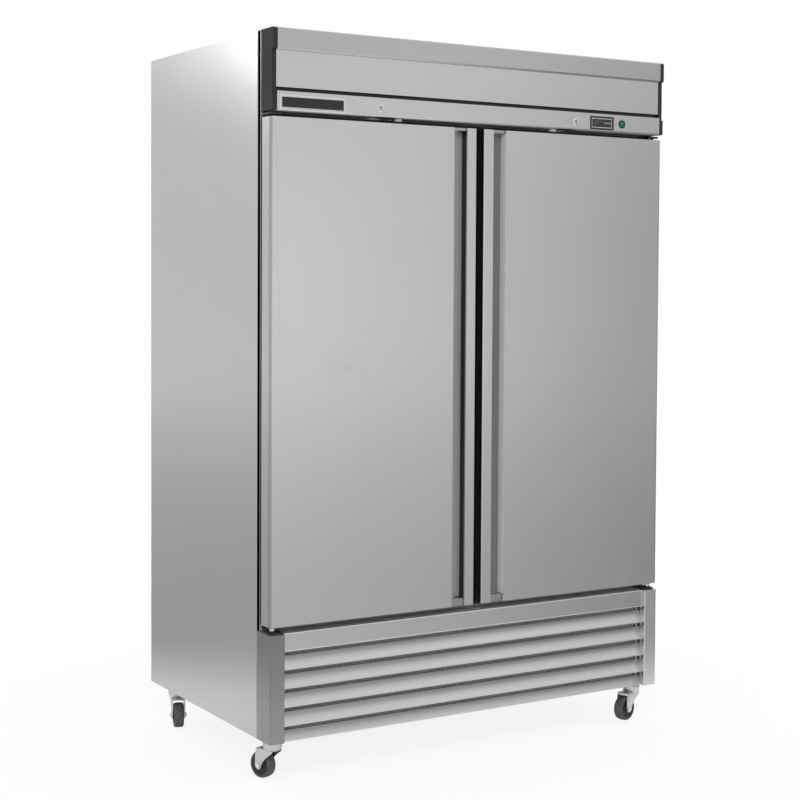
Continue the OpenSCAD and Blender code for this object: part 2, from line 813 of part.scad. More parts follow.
module evaporator_housing() color(zinc) {
    t = evap_t;
    difference() {
        slab([-evap_hw, evap_y0, evap_z], [evap_hw, evap_y1, evap_z + t]);
        both() translate([-evap_fan_x, evap_fan_y, evap_z - 1])
            cylinder(r = evap_fan_r + 8, h = t + 2);
    }
    slab([-evap_hw, evap_y0, evap_z + t + seam], [evap_hw, evap_y0 + t, ceiling_z]);
    both() slab([-evap_hw, evap_y0 + t + seam, evap_z + t + seam],
        [-evap_hw + t, evap_y1, ceiling_z]);
}

// Fins on round tubes; the ends of the tubes are joined outside the end plates
module fin_coil(hw, y0, y1, z0, z1, fins, rows) {
    fin = 1.5;
    ymid = (y0 + y1) / 2;
    for (i = [0:fins - 1]) {
        x = -hw + i * (2 * hw - fin) / (fins - 1);
        slab([x, y0, z0], [x + fin, y1, z1]);
    }
    rise = (z1 - z0) / (rows + 1);
    for (j = [1:rows]) translate([-hw - coil_end, ymid, z0 + j * rise])
        rotate([0, 90, 0]) cylinder(r = line_r - 1, h = 2 * (hw + coil_end));
    for (j = [1:rows - 1], s = [0, 1]) if (j % 2 == s) {
        x = s == 1 ? -hw - coil_end : hw + coil_end;
        translate([x, ymid, z0 + j * rise]) cylinder(r = line_r - 1, h = rise);
        for (k = [0, 1]) translate([x, ymid, z0 + (j + k) * rise]) sphere(line_r - 1);
    }
}

module evaporator_coil() color([0.8, 0.82, 0.84]) {
    fin_coil(coil_hw, coil_y0, coil_y0 + coil_d, coil_z, coil_z + coil_h, 18, evap_rows);
}

evap_motor_r = 36;
evap_motor_h = 46;
evap_motor_up = 34; // motor above the middle of its fan
evap_foot = 36; // width of the bracket that hangs a motor

module evaporator_motors() color(dark) {
    motor_z = evap_fan_z + evap_motor_up;
    foot_z = motor_z + evap_motor_h;
    both() translate([-evap_fan_x, evap_fan_y, 0]) {
        translate([0, 0, motor_z]) cylinder(r = evap_motor_r, h = evap_motor_h);
        translate([0, 0, evap_fan_z + 2]) cylinder(r = 4, h = evap_motor_up - 1);
        translate([-evap_foot / 2, -evap_foot / 2, foot_z])
            cube([evap_foot, evap_foot, ceiling_z - foot_z]);
    }
}

// A hub with pitched blades, bored for its shaft
module fan_wheel(r, hub_r, hub_h, blades, pitch, shaft_r, lean) {
    difference() {
        union() {
            cylinder(r = hub_r, h = hub_h);
            for (i = [0:blades - 1]) rotate([0, 0, i * 360 / blades])
                translate([hub_r - 3, 0, hub_h / 2]) rotate([pitch, 0, 0])
                    translate([0, -lean / 2, -1]) cube([r - hub_r - 4, lean, 2]);
        }
        translate([0, 0, -1]) cylinder(r = shaft_r + run_fit, h = hub_h + 2);
    }
}

evap_hub_r = 24;
evap_hub_h = 30;
evap_blade_w = 44;

module evaporator_fan(side) color([0.85, 0.86, 0.88]) {
    translate([side * evap_fan_x, evap_fan_y, evap_fan_z])
        fan_wheel(evap_fan_r, evap_hub_r, evap_hub_h, 5, 24, 4, evap_blade_w);
}

module evaporator_fan_left() evaporator_fan(-1);

module evaporator_fan_right() evaporator_fan(1);

module interior_lights() color(white) {
    both() slab([-evap_hw - 80, body_y + 20, opening_top - sheet - 12],
        [-110, body_y + 44, opening_top - sheet]);
}

// ---- base and condensing unit ----

pan_z = base_z + pan_t;
post_in = side_x - post_w;
rear_room = 14; // depth of the recess behind the rear cover
cover_y = rear - rear_room;

// Deck sheet under the insulated body
module bottom_deck() {
    difference() {
        slab([-skin_x, body_y, deck_z], [skin_x, skin_y, deck_z + sheet]);
        line_bores(line_r + line_clear);
    }
}

// Pan, side runners, corner uprights and the deck that carries the insulated body
module base_frame() color(zinc) {
    bottom_deck();
    x1 = side_x - grille_t;
    y0 = back(post_d);
    y1 = rear - rear_room;
    slab([-x1, back(flange_d), base_z], [x1, rear - rear_inset, pan_z]);
    both() {
        slab([-skin_x, y0 + angle_leg + seam, pan_z + seam],
            [-skin_x + angle_t, y1 - angle_leg - seam, pan_z + angle_leg]);
        upright(y0, y0 + angle_t);
        upright(y1 - angle_leg, y1 - angle_leg);
    }
}

// Steel angle in a corner of the base, its inner side cut away from cut_y on
module upright(y, cut_y) {
    z0 = pan_z + seam;
    z1 = deck_z - seam;
    back_cut = cut_y > y ? y + angle_leg + 1 : y + angle_leg - angle_t;
    difference() {
        slab([-skin_x, y, z0], [-skin_x + angle_leg, y + angle_leg, z1]);
        slab([-skin_x + angle_t, cut_y > y ? cut_y : y - 1, z0 - 1],
            [-skin_x + angle_leg + 1, back_cut, z1 + 1]);
    }
}

// Front posts and the top rail of the grille
module grille_frame() color(steel) {
    t = grille_t;
    yp = back(0);
    yf = back(grille_in);
    both() difference() {
        slab([-side_x, yp, base_z], [-post_in, back(post_d), base_top]);
        slab([-side_x + t, yp + t, base_z - 1], [-post_in - t, back(post_d) + 1, base_top - t]);
        slab([-side_x + t, back(flange_d), base_z - 1],
            [-post_in + 1, back(post_d) + 1, base_top - t]);
    }
    slab([-post_in + seam, yf, base_top - rail_h], [post_in - seam, yf + t, base_top]);
    slab([-post_in + seam, yf + t + seam, base_top - t], [post_in - seam, back(post_d), base_top]);
}

// Sloping blades between the posts, each with a flat lip
module grille_louvres() color(steel) {
    t = grille_t;
    count = floor((base_top - rail_h - base_z) / louvre_pitch) + 1;
    for (i = [1:count]) {
        z1 = base_top - rail_h - (i - 1) * louvre_pitch - louvre_slot;
        z0 = max(base_top - rail_h - i * louvre_pitch, base_z);
        yf = back(grille_in);
        pulled(-post_in, post_in, [
            [yf, z0], [yf + 7, z0], [yf + 7, z0 + t], [yf + t, z0 + t], [yf + t, z0 + 5],
            [yf + louvre_d + t, z1], [yf + louvre_d, z1], [yf, z0 + 5]
        ]);
    }
}

comp_at = [-350, back(560)];
foot_h = 12;

foot_x = 30; // how far the foot plate stands out beside the shell
foot_y = 6; // how far it stands out before and behind

// Welded shell with domed ends on a footed plate
module compressor() color(dark) {
    z0 = pan_z + foot_h;
    translate([comp_at[0], comp_at[1], 0]) {
        translate([-comp_r - foot_x, -comp_r - foot_y, z0])
            cube([2 * (comp_r + foot_x), 2 * (comp_r + foot_y), 4]);
        for (x = [-1, 1], y = [-1, 1])
            translate([x * (comp_r + 15), y * (comp_r - 8), pan_z]) cylinder(r = 11, h = foot_h);
        translate([0, 0, z0 + 4]) rotate_extrude() polygon(concat(
            [[0, 0], [comp_r - 14, 0]], arc([comp_r - 14, 14], 14, -90, 0),
            arc([comp_r - 40, comp_h - 40], 40, 0, 90, 8), [[0, comp_h]]));
        translate([comp_r - 12, -24, z0 + 40]) cube([36, 48, 56]);
    }
}

cond_y0 = back(40);
cond_y1 = back(124);
cond_z = pan_z;

module condenser_coil() color([0.55, 0.56, 0.58]) {
    fin_coil(cond_hw, cond_y0, cond_y1, cond_z, cond_z + cond_h, 16, cond_rows);
}

cond_fan_z = cond_z + cond_h / 2;

// Shroud plate, motor and pedestal
module condenser_fan_motor() color(dark) {
    difference() {
        slab([-cond_hw - 6, cond_y1, cond_z], [cond_hw + 6, cond_y1 + 2, cond_z + cond_h]);
        rod_y(0, cond_fan_z, cond_fan_r + 7, cond_y1 - 1, cond_y1 + 3);
    }
    rod_y(0, cond_fan_z, 42, cond_y1 + 58, cond_y1 + 128);
    rod_y(0, cond_fan_z, 5, cond_y1 + 16, cond_y1 + 59);
    slab([-22, cond_y1 + 70, cond_z], [22, cond_y1 + 116, cond_fan_z - 36]);
}

module condenser_fan() color(zinc) {
    translate([0, cond_y1 + 46, cond_fan_z]) rotate([90, 0, 0])
        fan_wheel(cond_fan_r, 30, 34, 5, 26, 5, 58);
}

tray_hw = 190; // half the width of the defrost tray
tray_y = 640; // its front behind the door faces
tray_d = 150;

// Shallow tray of flat sides that the defrost water runs into
module condensate_pan() color(dark) {
    x1 = tray_hw;
    y0 = back(tray_y);
    y1 = back(tray_y + tray_d);
    h = 46;
    t = 2;
    slab([-x1, y0, pan_z], [x1, y1, pan_z + t]);
    for (y = [y0, y1 - t]) slab([-x1, y, pan_z + t + seam], [x1, y + t, pan_z + h]);
    both() slab([-x1, y0 + t + seam, pan_z + t + seam], [-x1 + t, y1 - t - seam, pan_z + h]);
}

// Discharge line to the condenser, suction line and liquid line up the rear wall
module refrigerant_lines() color(copper) {
    comp_z = pan_z + foot_h + 4 + comp_h;
    comp_x = comp_at[0];
    comp_y = comp_at[1];
    cond_y = (cond_y0 + cond_y1) / 2;
    cond_end = cond_hw + coil_end;
    cond_rise = cond_h / (cond_rows + 1);
    evap_y = coil_y0 + coil_d / 2;
    evap_end = coil_hw + coil_end;
    evap_rise = coil_h / (evap_rows + 1);
    evap_line_x = evap_hw - evap_t - line_r - 1;
    behind = coil_y0 + coil_d + 40;
    small = line_r - 1.5;
    tube_run([
        [comp_x, comp_y - 30, comp_z], [comp_x, comp_y - 30, comp_z + 24],
        [comp_x, cond_y, comp_z + 24], [comp_x, cond_y, cond_z + cond_rows * cond_rise],
        [-cond_end, cond_y, cond_z + cond_rows * cond_rise]
    ], small);
    tube_run([
        [comp_x, comp_y + 30, comp_z], [comp_x, comp_y + 30, comp_z + 40],
        [riser_x, comp_y + 30, comp_z + 40], [riser_x, riser_y, comp_z + 40],
        [riser_x, riser_y, coil_line_z], [riser_x, behind, coil_line_z],
        [-evap_line_x, behind, coil_line_z], [-evap_line_x, evap_y, coil_line_z],
        [-evap_line_x, evap_y, coil_z + evap_rows * evap_rise],
        [-evap_end, evap_y, coil_z + evap_rows * evap_rise]
    ], line_r);
    tube_run([
        [cond_end, cond_y, cond_z + cond_rise], [cond_end + 46, cond_y, cond_z + cond_rise],
        [cond_end + 46, back(500), cond_z + cond_rise], [cond_end + 46, back(500), comp_z + 12],
        [riser_x + riser_gap, back(500), comp_z + 12], [riser_x + riser_gap, riser_y, comp_z + 12],
        [riser_x + riser_gap, riser_y, coil_line_z], [riser_x + riser_gap, behind, coil_line_z],
        [evap_line_x, behind, coil_line_z], [evap_line_x, evap_y, coil_line_z],
        [evap_line_x, evap_y, coil_z + evap_rise], [evap_end, evap_y, coil_z + evap_rise]
    ], small);
}

box_x = 450;
box_w = 130;
box_h = 120;
inlet_x = 520;
inlet_z = base_z + 70;
inlet_r = 10;

// Terminal box on the pan and the lead's inlet in the rear cover
module electrical_box() color([0.55, 0.56, 0.57]) {
    slab([box_x, back(180), pan_z], [box_x + box_w, back(360), pan_z + box_h]);
    rod_y(inlet_x, inlet_z, inlet_r, cover_y - 14, rear - rear_inset);
    rod_y(inlet_x, inlet_z, inlet_r + 4, cover_y + sheet, cover_y + sheet + 3);
}

// Slotted cover over the back of the base
module rear_vent_cover() color(zinc) {
    slits = 9;
    slit_z = pan_z + 45;
    slit_w = 260;
    slit_step = 24;
    difference() {
        slab([-skin_x, cover_y, pan_z], [skin_x, cover_y + sheet, deck_z]);
        for (x = [-500, -170, 160], i = [0:slits - 1])
            slab([x, cover_y - 1, slit_z + i * slit_step],
                [x + slit_w, cover_y + 2, slit_z + 8 + i * slit_step]);
        rod_y(inlet_x, inlet_z, inlet_r + 0.3, cover_y - 1, cover_y + 2);
    }
}

module screw_head(x, y, z, r, h) {
    translate([x, y, z]) rotate([-90, 0, 0]) cylinder(r = r, h = h);
}

// Heads of the screws in the back sheets
module panel_screws() color(zinc) {
    y = skin_y + sheet;
    r = 4;
    step = (cab_top - deck_z - 80) / 6;
    both() for (i = [0:6]) screw_head(-skin_x + 14, y, deck_z + 40 + i * step, r, rear_inset);
    both() for (z = [pan_z + 20, deck_z - 20])
        screw_head(-skin_x + 14, cover_y + sheet, z, r, rear_inset);
}

// ---- casters ----

caster_pos = [
    [-side_x + caster_in, back(caster_front)], [side_x - caster_in, back(caster_front)],
    [-side_x + caster_in, back(caster_rear)], [side_x - caster_in, back(caster_rear)]
];
plate_t = 4;
race_t = 6; // fixed half of the bearing
crown_z = 2 * wheel_r + 8; // underside of the fork's crown
crown_t = 6;
king_r = 6;
race_r = 26;
leg_in = wheel_w / 2 + 2.5;
leg_t = 3;
wheel_axle_r = 4;

// Fixed plates, upper races and kingpins
module caster_plates() color(zinc) {
    for (p = caster_pos) translate([p[0], p[1], 0]) {
        translate([-caster_plate / 2, -caster_plate / 2, base_z - plate_t])
            cube([caster_plate, caster_plate, plate_t]);
        translate([0, 0, base_z - plate_t - race_t]) cylinder(r = race_r + 2, h = race_t);
        translate([0, 0, crown_z - seat_fit])
            cylinder(r = king_r, h = base_z - plate_t - race_t - crown_z + 1);
        translate([0, 0, crown_z - 4 - seat_fit]) cylinder(r = king_r + 3, h = 4);
    }
}

// Lower race, crown, two legs and the axle, drawn with the wheel trailing along +X
module caster_fork(i) color(zinc) {
    p = caster_pos[i];
    race_top = base_z - plate_t - race_t - seat_fit;
    translate([p[0], p[1], 0]) rotate([0, 0, caster_turn[i]]) {
        difference() {
            union() {
                translate([0, 0, crown_z]) cylinder(r = race_r, h = race_top - crown_z);
                translate([-18, -leg_in - leg_t, crown_z])
                    cube([18 + trail + 8, 2 * (leg_in + leg_t), crown_t]);
            }
            translate([0, 0, crown_z - 1]) cylinder(r = king_r + run_fit, h = race_top - crown_z + 2);
        }
        for (s = [-1, 1]) translate([0, s * (leg_in + leg_t / 2) + leg_t / 2, 0]) rotate([90, 0, 0])
            linear_extrude(leg_t) polygon([
                [-16, crown_z], [trail + 8, crown_z], [trail + 11, wheel_r + 8],
                [trail + 8, wheel_r - 8], [trail - 8, wheel_r - 8], [trail - 12, wheel_r + 6]
            ]);
        translate([trail, leg_in + leg_t + 4, wheel_r]) rotate([90, 0, 0])
            cylinder(r = wheel_axle_r, h = 2 * (leg_in + leg_t + 4));
        for (s = [-1, 1]) translate([trail, s * (leg_in + leg_t + 2) + 2, wheel_r])
            rotate([90, 0, 0]) cylinder(r = 8, h = 4, $fn = 6);
    }
}

// Wheel with a rounded tread and a bored hub
module caster_wheel(i) color(dark) {
    p = caster_pos[i];
    hw = wheel_w / 2;
    hub = leg_in - seat_fit;
    bore = wheel_axle_r + run_fit;
    translate([p[0], p[1], 0]) rotate([0, 0, caster_turn[i]]) translate([trail, 0, wheel_r])
        rotate([90, 0, 0]) rotate_extrude() polygon([
            [bore, -hub], [12, -hub], [14, -hw + 5], [wheel_r - 12, -hw + 5], [wheel_r - 9, -hw],
            [wheel_r - 3, -hw], [wheel_r, -hw + 4], [wheel_r, hw - 4], [wheel_r - 3, hw],
            [wheel_r - 9, hw], [wheel_r - 12, hw - 5], [14, hw - 5], [12, hub], [bore, hub]
        ]);
}

left_side_panel();
right_side_panel();
rear_panel();
top_panel();
insulation_foam();
inner_liner();
face_frame();
header_visor();
header_panel();
control_fascia();
header_end_caps();
nameplate();
controller();
switch_bezel();
lock_housings();
hinge_brackets();
door_switches();
shelf_supports();
wire_shelves();
evaporator_housing();
evaporator_coil();
evaporator_motors();
interior_lights();
base_frame();
grille_frame();
grille_louvres();
compressor();
condenser_coil();
condenser_fan_motor();
condensate_pan();
refrigerant_lines();
electrical_box();
rear_vent_cover();
caster_plates();
panel_screws();
left_door_skin();
left_door_liner();
left_door_foam();
left_door_gasket();
right_door_skin();
right_door_liner();
right_door_foam();
right_door_gasket();
left_lock_barrel();
right_lock_barrel();
power_rocker();
set_button();
up_button();
down_button();
evaporator_fan_left();
evaporator_fan_right();
condenser_fan();
caster_fork(0);  // caster_fork_1
caster_fork(1);  // caster_fork_2
caster_fork(2);  // caster_fork_3
caster_fork(3);  // caster_fork_4
caster_wheel(0);  // caster_wheel_1
caster_wheel(1);  // caster_wheel_2
caster_wheel(2);  // caster_wheel_3
caster_wheel(3);  // caster_wheel_4
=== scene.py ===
import math

import bmesh
import bpy
from mathutils import Matrix, Vector


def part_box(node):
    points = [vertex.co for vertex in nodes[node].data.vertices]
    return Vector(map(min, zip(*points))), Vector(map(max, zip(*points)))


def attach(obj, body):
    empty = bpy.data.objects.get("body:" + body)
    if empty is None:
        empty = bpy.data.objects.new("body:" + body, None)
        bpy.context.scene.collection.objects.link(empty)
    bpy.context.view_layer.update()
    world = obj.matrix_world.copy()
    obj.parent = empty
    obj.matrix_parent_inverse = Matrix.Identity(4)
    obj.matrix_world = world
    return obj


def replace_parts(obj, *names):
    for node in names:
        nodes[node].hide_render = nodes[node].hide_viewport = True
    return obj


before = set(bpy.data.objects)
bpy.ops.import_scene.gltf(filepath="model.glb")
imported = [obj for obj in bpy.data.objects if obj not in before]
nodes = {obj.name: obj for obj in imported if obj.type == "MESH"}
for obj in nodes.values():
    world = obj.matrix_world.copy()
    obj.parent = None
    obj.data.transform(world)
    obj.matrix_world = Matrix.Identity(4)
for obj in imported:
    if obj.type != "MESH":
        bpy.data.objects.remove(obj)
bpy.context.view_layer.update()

# ---- camera -------------------------------------------------------------------------
# Stands left of the cabinet at chest height, as the photograph was taken. The lens
# axis is level with a shift, so the uprights stay nearly parallel.
eye = Vector((-2.685, -4.378, 1.403))
yaw, pitch, roll = (math.radians(a) for a in (31.32, 2.13, 0.31))
look = Vector((math.sin(yaw) * math.cos(pitch), math.cos(yaw) * math.cos(pitch), -math.sin(pitch)))
level = Vector((math.cos(yaw), -math.sin(yaw), 0))
upward = level.cross(look)
across = level * math.cos(roll) + upward * math.sin(roll)
upward = upward * math.cos(roll) - level * math.sin(roll)
camera_data = bpy.data.cameras.new("camera")
camera_data.lens = 73.04
camera_data.sensor_width = 36
camera_data.shift_y = -0.075
camera_data.clip_end = 60
camera = bpy.data.objects.new("camera", camera_data)
camera.matrix_world = Matrix.Translation(eye) @ Matrix((across, upward,
    -look)).transposed().to_4x4()
bpy.context.scene.collection.objects.link(camera)
bpy.context.scene.camera = camera
bpy.context.scene.view_settings.view_transform = "Standard"

# ---- studio -------------------------------------------------------------------------
# White to the camera. What lights the steel is a pale room: a bright wall above a greyer
# floor, with softer corners, so that large flat sheets show slow changes of tone.
world = bpy.data.worlds.new("studio")
bpy.context.scene.world = world
world.use_nodes = True
wt = world.node_tree
wt.nodes.clear()


def link(tree, a, b):
    """Joins an output socket to an input socket."""
    tree.links.new(a, b)


def ramp(tree, value, stops):
    """A smooth ramp of greys or colours, read at value."""
    node = tree.nodes.new("ShaderNodeValToRGB")
    node.color_ramp.interpolation = "EASE"
    while len(node.color_ramp.elements) < len(stops):
        node.color_ramp.elements.new(0.5)
    for element, (place, tone) in zip(node.color_ramp.elements, stops):
        element.position = place
        element.color = (*tone, 1) if isinstance(tone, tuple) else (tone, tone, tone, 1)
    link(tree, value, node.inputs["Fac"])
    return node.outputs["Color"]


def math_node(tree, kind, a, b=None):
    """A Math node on sockets or numbers."""
    node = tree.nodes.new("ShaderNodeMath")
    node.operation = kind
    for i, v in enumerate((a, b)):
        if v is None:
            continue
        if isinstance(v, (int, float)):
            node.inputs[i].default_value = v
        else:
            link(tree, v, node.inputs[i])
    return node.outputs[0]


def times(tree, a, b):
    """a times b."""
    return math_node(tree, "MULTIPLY", a, b)


def plus(tree, a, b):
    """a plus b."""
    return math_node(tree, "ADD", a, b)


def span(tree, value, lo, hi, out_lo=0.0, out_hi=1.0):
    """value from lo..hi brought to out_lo..out_hi, smoothly."""
    node = tree.nodes.new("ShaderNodeMapRange")
    node.interpolation_type = "SMOOTHSTEP"
    for name, v in (("From Min", lo), ("From Max", hi), ("To Min", out_lo), ("To Max", out_hi)):
        node.inputs[name].default_value = v
    link(tree, value, node.inputs["Value"])
    return node.outputs["Result"]


direction = wt.nodes.new("ShaderNodeTexCoord").outputs["Generated"]
parts = wt.nodes.new("ShaderNodeSeparateXYZ")
link(wt, direction, parts.inputs[0])
dir_x, dir_y, dir_z = parts.outputs
height_in = wt.nodes.new("ShaderNodeMapRange")
height_in.inputs["From Min"].default_value = -0.3
height_in.inputs["From Max"].default_value = 0.3
link(wt, dir_z, height_in.inputs["Value"])
wall = ramp(wt, height_in.outputs["Result"], [
    (0.0, 0.50), (0.18, 0.57), (0.30, 0.66), (0.395, 1.02), (0.46, 0.93),
    (0.62, 0.90), (0.70, 0.66), (1.0, 0.78)])
corner = span(wt, dir_x, 0.44, 0.68, 1.0, 0.60)
left_wall = span(wt, dir_y, 0.0, 0.5, 1.0, 0.84)
spot_axis = Vector((-0.479, 0.862, 0.158)).normalized()
spot_dot = wt.nodes.new("ShaderNodeVectorMath")
spot_dot.operation = "DOT_PRODUCT"
spot_dot.inputs[1].default_value = spot_axis
link(wt, direction, spot_dot.inputs[0])
lamp_spot = span(wt, spot_dot.outputs["Value"], 0.9988, 0.9998, 0.0, 8.0)
glow = times(wt, span(wt, dir_x, 0.46, 0.56, 0.0, 0.29),
    span(wt, dir_z, 0.085, 0.125))
corner = times(wt, corner, span(wt, dir_x, 0.585, 0.66, 1.0, 0.74))
room = times(wt, wall, times(wt, corner, left_wall))
room = plus(wt, room, plus(wt, lamp_spot, glow))
room_shader = wt.nodes.new("ShaderNodeBackground")
link(wt, room, room_shader.inputs["Color"])
white_shader = wt.nodes.new("ShaderNodeBackground")
white_shader.inputs["Color"].default_value = (1, 1, 1, 1)
choose = wt.nodes.new("ShaderNodeMixShader")
rays = wt.nodes.new("ShaderNodeLightPath").outputs
link(wt, math_node(wt, "MAXIMUM", rays["Is Camera Ray"], rays["Is Transmission Ray"]),
    choose.inputs[0])
link(wt, room_shader.outputs[0], choose.inputs[1])
link(wt, white_shader.outputs[0], choose.inputs[2])
link(wt, choose.outputs[0], wt.nodes.new("ShaderNodeOutputWorld").inputs["Surface"])


def lamp(name, place, aim, size, power):
    """A soft square lamp at place that points to aim."""
    data = bpy.data.lights.new(name, "AREA")
    data.size = size
    data.energy = power
    obj = bpy.data.objects.new(name, data)
    turn = (Vector(aim) - Vector(place)).to_track_quat("-Z", "Y").to_matrix().to_4x4()
    obj.matrix_world = Matrix.Translation(Vector(place)) @ turn
    obj.visible_glossy = False
    bpy.context.scene.collection.objects.link(obj)


lamp("key_lamp", (-3.2, -4.2, 4.6), (0, 0, 1.0), 2.6, 130)
lamp("fill_lamp", (4.4, -3.4, 3.4), (0, 0, 0.9), 3.0, 60)
lamp("back_lamp", (0.5, 4.8, 4.0), (0, 0, 1.2), 3.0, 90)

floor_mesh = bpy.data.meshes.new("floor")
disc = bmesh.new()
bmesh.ops.create_circle(disc, cap_ends=True, segments=96, radius=6.0)
disc.to_mesh(floor_mesh)
disc.free()
floor = bpy.data.objects.new("floor", floor_mesh)
bpy.context.scene.collection.objects.link(floor)
floor_paint = bpy.data.materials.new("pale_floor")
floor_paint.use_nodes = True
ft = floor_paint.node_tree
floor_bsdf = ft.nodes["Principled BSDF"]
floor_bsdf.inputs["Base Color"].default_value = (0.93, 0.93, 0.93, 1)
floor_bsdf.inputs["Roughness"].default_value = 0.8
floor_at = ft.nodes.new("ShaderNodeTexCoord").outputs["Object"]
reach = ft.nodes.new("ShaderNodeVectorMath")
reach.operation = "LENGTH"
link(ft, floor_at, reach.inputs[0])
near = span(ft, reach.outputs["Value"], 0.9, 1.9, 1.0, 0.0)
link(ft, near, floor_bsdf.inputs["Alpha"])
floor_white = ft.nodes.new("ShaderNodeEmission")
seen_white = ft.nodes.new("ShaderNodeMixShader")
rays = ft.nodes.new("ShaderNodeLightPath").outputs
seen = math_node(ft, "MAXIMUM", rays["Is Camera Ray"], rays["Is Transmission Ray"])
mirrored = times(ft, times(ft, rays["Is Glossy Ray"], near), 0.15)
link(ft, math_node(ft, "MAXIMUM", times(ft, seen, 0.86), mirrored),
    seen_white.inputs[0])
link(ft, floor_bsdf.outputs[0], seen_white.inputs[1])
link(ft, floor_white.outputs[0], seen_white.inputs[2])
link(ft, seen_white.outputs[0], ft.nodes["Material Output"].inputs["Surface"])
floor_mesh.materials.append(floor_paint)

# ---- cabinet sheets -----------------------------------------------------------------
# Folded stainless sheet, brushed from top to bottom. The lines are fine, large panels
# are a little wavy, and hands leave duller patches.


def group(name, ins, outs):
    """An empty shader node group with named sockets."""
    tree = bpy.data.node_groups.new(name, "ShaderNodeTree")
    for label, kind, value in ins:
        tree.interface.new_socket(label, in_out="INPUT", socket_type=kind).default_value = value
    for label, kind in outs:
        tree.interface.new_socket(label, in_out="OUTPUT", socket_type=kind)
    return tree, tree.nodes.new("NodeGroupInput").outputs, tree.nodes.new("NodeGroupOutput").inputs


def noise(tree, vector, scale, detail=2.0, rough=0.5):
    """Noise read at vector, with a number or socket as its scale."""
    node = tree.nodes.new("ShaderNodeTexNoise")
    node.inputs["Detail"].default_value = detail
    node.inputs["Roughness"].default_value = rough
    if isinstance(scale, (int, float)):
        node.inputs["Scale"].default_value = scale
    else:
        link(tree, scale, node.inputs["Scale"])
    link(tree, vector, node.inputs["Vector"])
    return node.outputs["Fac"]


def stretched(tree, vector, by):
    """vector times by, which is three numbers or a socket."""
    node = tree.nodes.new("ShaderNodeVectorMath")
    node.operation = "MULTIPLY"
    link(tree, vector, node.inputs[0])
    if isinstance(by, (tuple, list)):
        node.inputs[1].default_value = by
    else:
        link(tree, by, node.inputs[1])
    return node.outputs[0]


def object_place(tree):
    """The Object coordinates."""
    return tree.nodes.new("ShaderNodeTexCoord").outputs["Object"]


def tinted(tree, colour, factor):
    """colour times a grey factor."""
    node = tree.nodes.new("ShaderNodeMix")
    node.data_type = "RGBA"
    node.blend_type = "MULTIPLY"
    node.inputs["Factor"].default_value = 1
    link(tree, colour, node.inputs["A"])
    link(tree, factor, node.inputs["B"])
    return node.outputs["Result"]


FLOAT, COLOUR, VECTOR = "NodeSocketFloat", "NodeSocketColor", "NodeSocketVector"
brush, g_in, g_out = group("brushed_lines", [
    ("Tone", COLOUR, (0.6, 0.6, 0.6, 1)), ("Stretch", VECTOR, (700, 700, 9)),
    ("Dull", FLOAT, 0.24), ("Contrast", FLOAT, 0.05)],
    [("Color", COLOUR), ("Roughness", FLOAT), ("Height", FLOAT)])
at = object_place(brush)
fine = noise(brush, stretched(brush, at, g_in["Stretch"]), 1.0, 3, 0.6)
broad = noise(brush, stretched(brush, stretched(brush, at, g_in["Stretch"]), (0.13, 0.13, 0.3)),
    1.0, 2)
cloud = noise(brush, at, 2.6, 3, 0.6)
smear = span(brush, noise(brush, at, 6.5, 5, 0.65), 0.55, 0.78)
lines = plus(brush, times(brush, fine, 0.6),
    times(brush, broad, 0.4))
shade = plus(brush, lines, times(brush, cloud, 0.5))
shade = times(brush, math_node(brush, "SUBTRACT", shade, 0.75), g_in["Contrast"])
shade = plus(brush, shade, 1.0)
link(brush, tinted(brush, g_in["Tone"], shade), g_out["Color"])
dull = plus(brush, g_in["Dull"], times(brush, math_node(brush, "SUBTRACT", lines, 0.5), 0.10))
dull = plus(brush, dull, times(brush, smear, 0.05))
link(brush, dull, g_out["Roughness"])
wave = times(brush, noise(brush, at, 1.7, 1), 6.0)
link(brush, plus(brush, wave, times(brush, lines, 0.05)),
    g_out["Height"])


def finish_of(name, tree_in, tone, metal, bump=0.3, depth=0.001, **values):
    """A Principled material fed by one finish group; values go to the group or the shader."""
    paint = bpy.data.materials.new(name)
    paint.use_nodes = True
    tree = paint.node_tree
    bsdf = tree.nodes["Principled BSDF"]
    finish = tree.nodes.new("ShaderNodeGroup")
    finish.node_tree = tree_in
    finish.inputs["Tone"].default_value = (*tone, 1)
    for key, value in values.items():
        place = finish.inputs if key in finish.inputs else bsdf.inputs
        place[key.replace("_", " ")].default_value = value
    for key in ("Color", "Roughness"):
        link(tree, finish.outputs[key], bsdf.inputs["Base Color" if key == "Color" else key])
    relief = tree.nodes.new("ShaderNodeBump")
    relief.inputs["Strength"].default_value = bump
    relief.inputs["Distance"].default_value = depth
    link(tree, finish.outputs["Height"], relief.inputs["Height"])
    link(tree, relief.outputs["Normal"], bsdf.inputs["Normal"])
    bsdf.inputs["Metallic"].default_value = metal
    return paint


def paint_node(paint, *names):
    """Gives a CAD node's mesh one material."""
    for name in names:
        data = nodes[name].data
        data.materials.clear()
        data.materials.append(paint)


sheet_steel = finish_of("brushed_steel_upright", brush, (0.66, 0.665, 0.67), 1.0, Dull=0.2)
level_steel = finish_of("brushed_steel_level", brush, (0.66, 0.665, 0.67), 1.0,
    Stretch=(9, 700, 700), Dull=0.2)
paint_node(sheet_steel, "face_frame")
# Painted shade: the visor is the level stainless in a darker tone.
visor_steel_painted_shade = finish_of("brushed_steel_visor", brush, (0.56, 0.565, 0.57), 1.0,
    Stretch=(9, 700, 700), Dull=0.2)
paint_node(level_steel, "top_panel", "header_panel", "control_fascia")
paint_node(visor_steel_painted_shade, "header_visor")

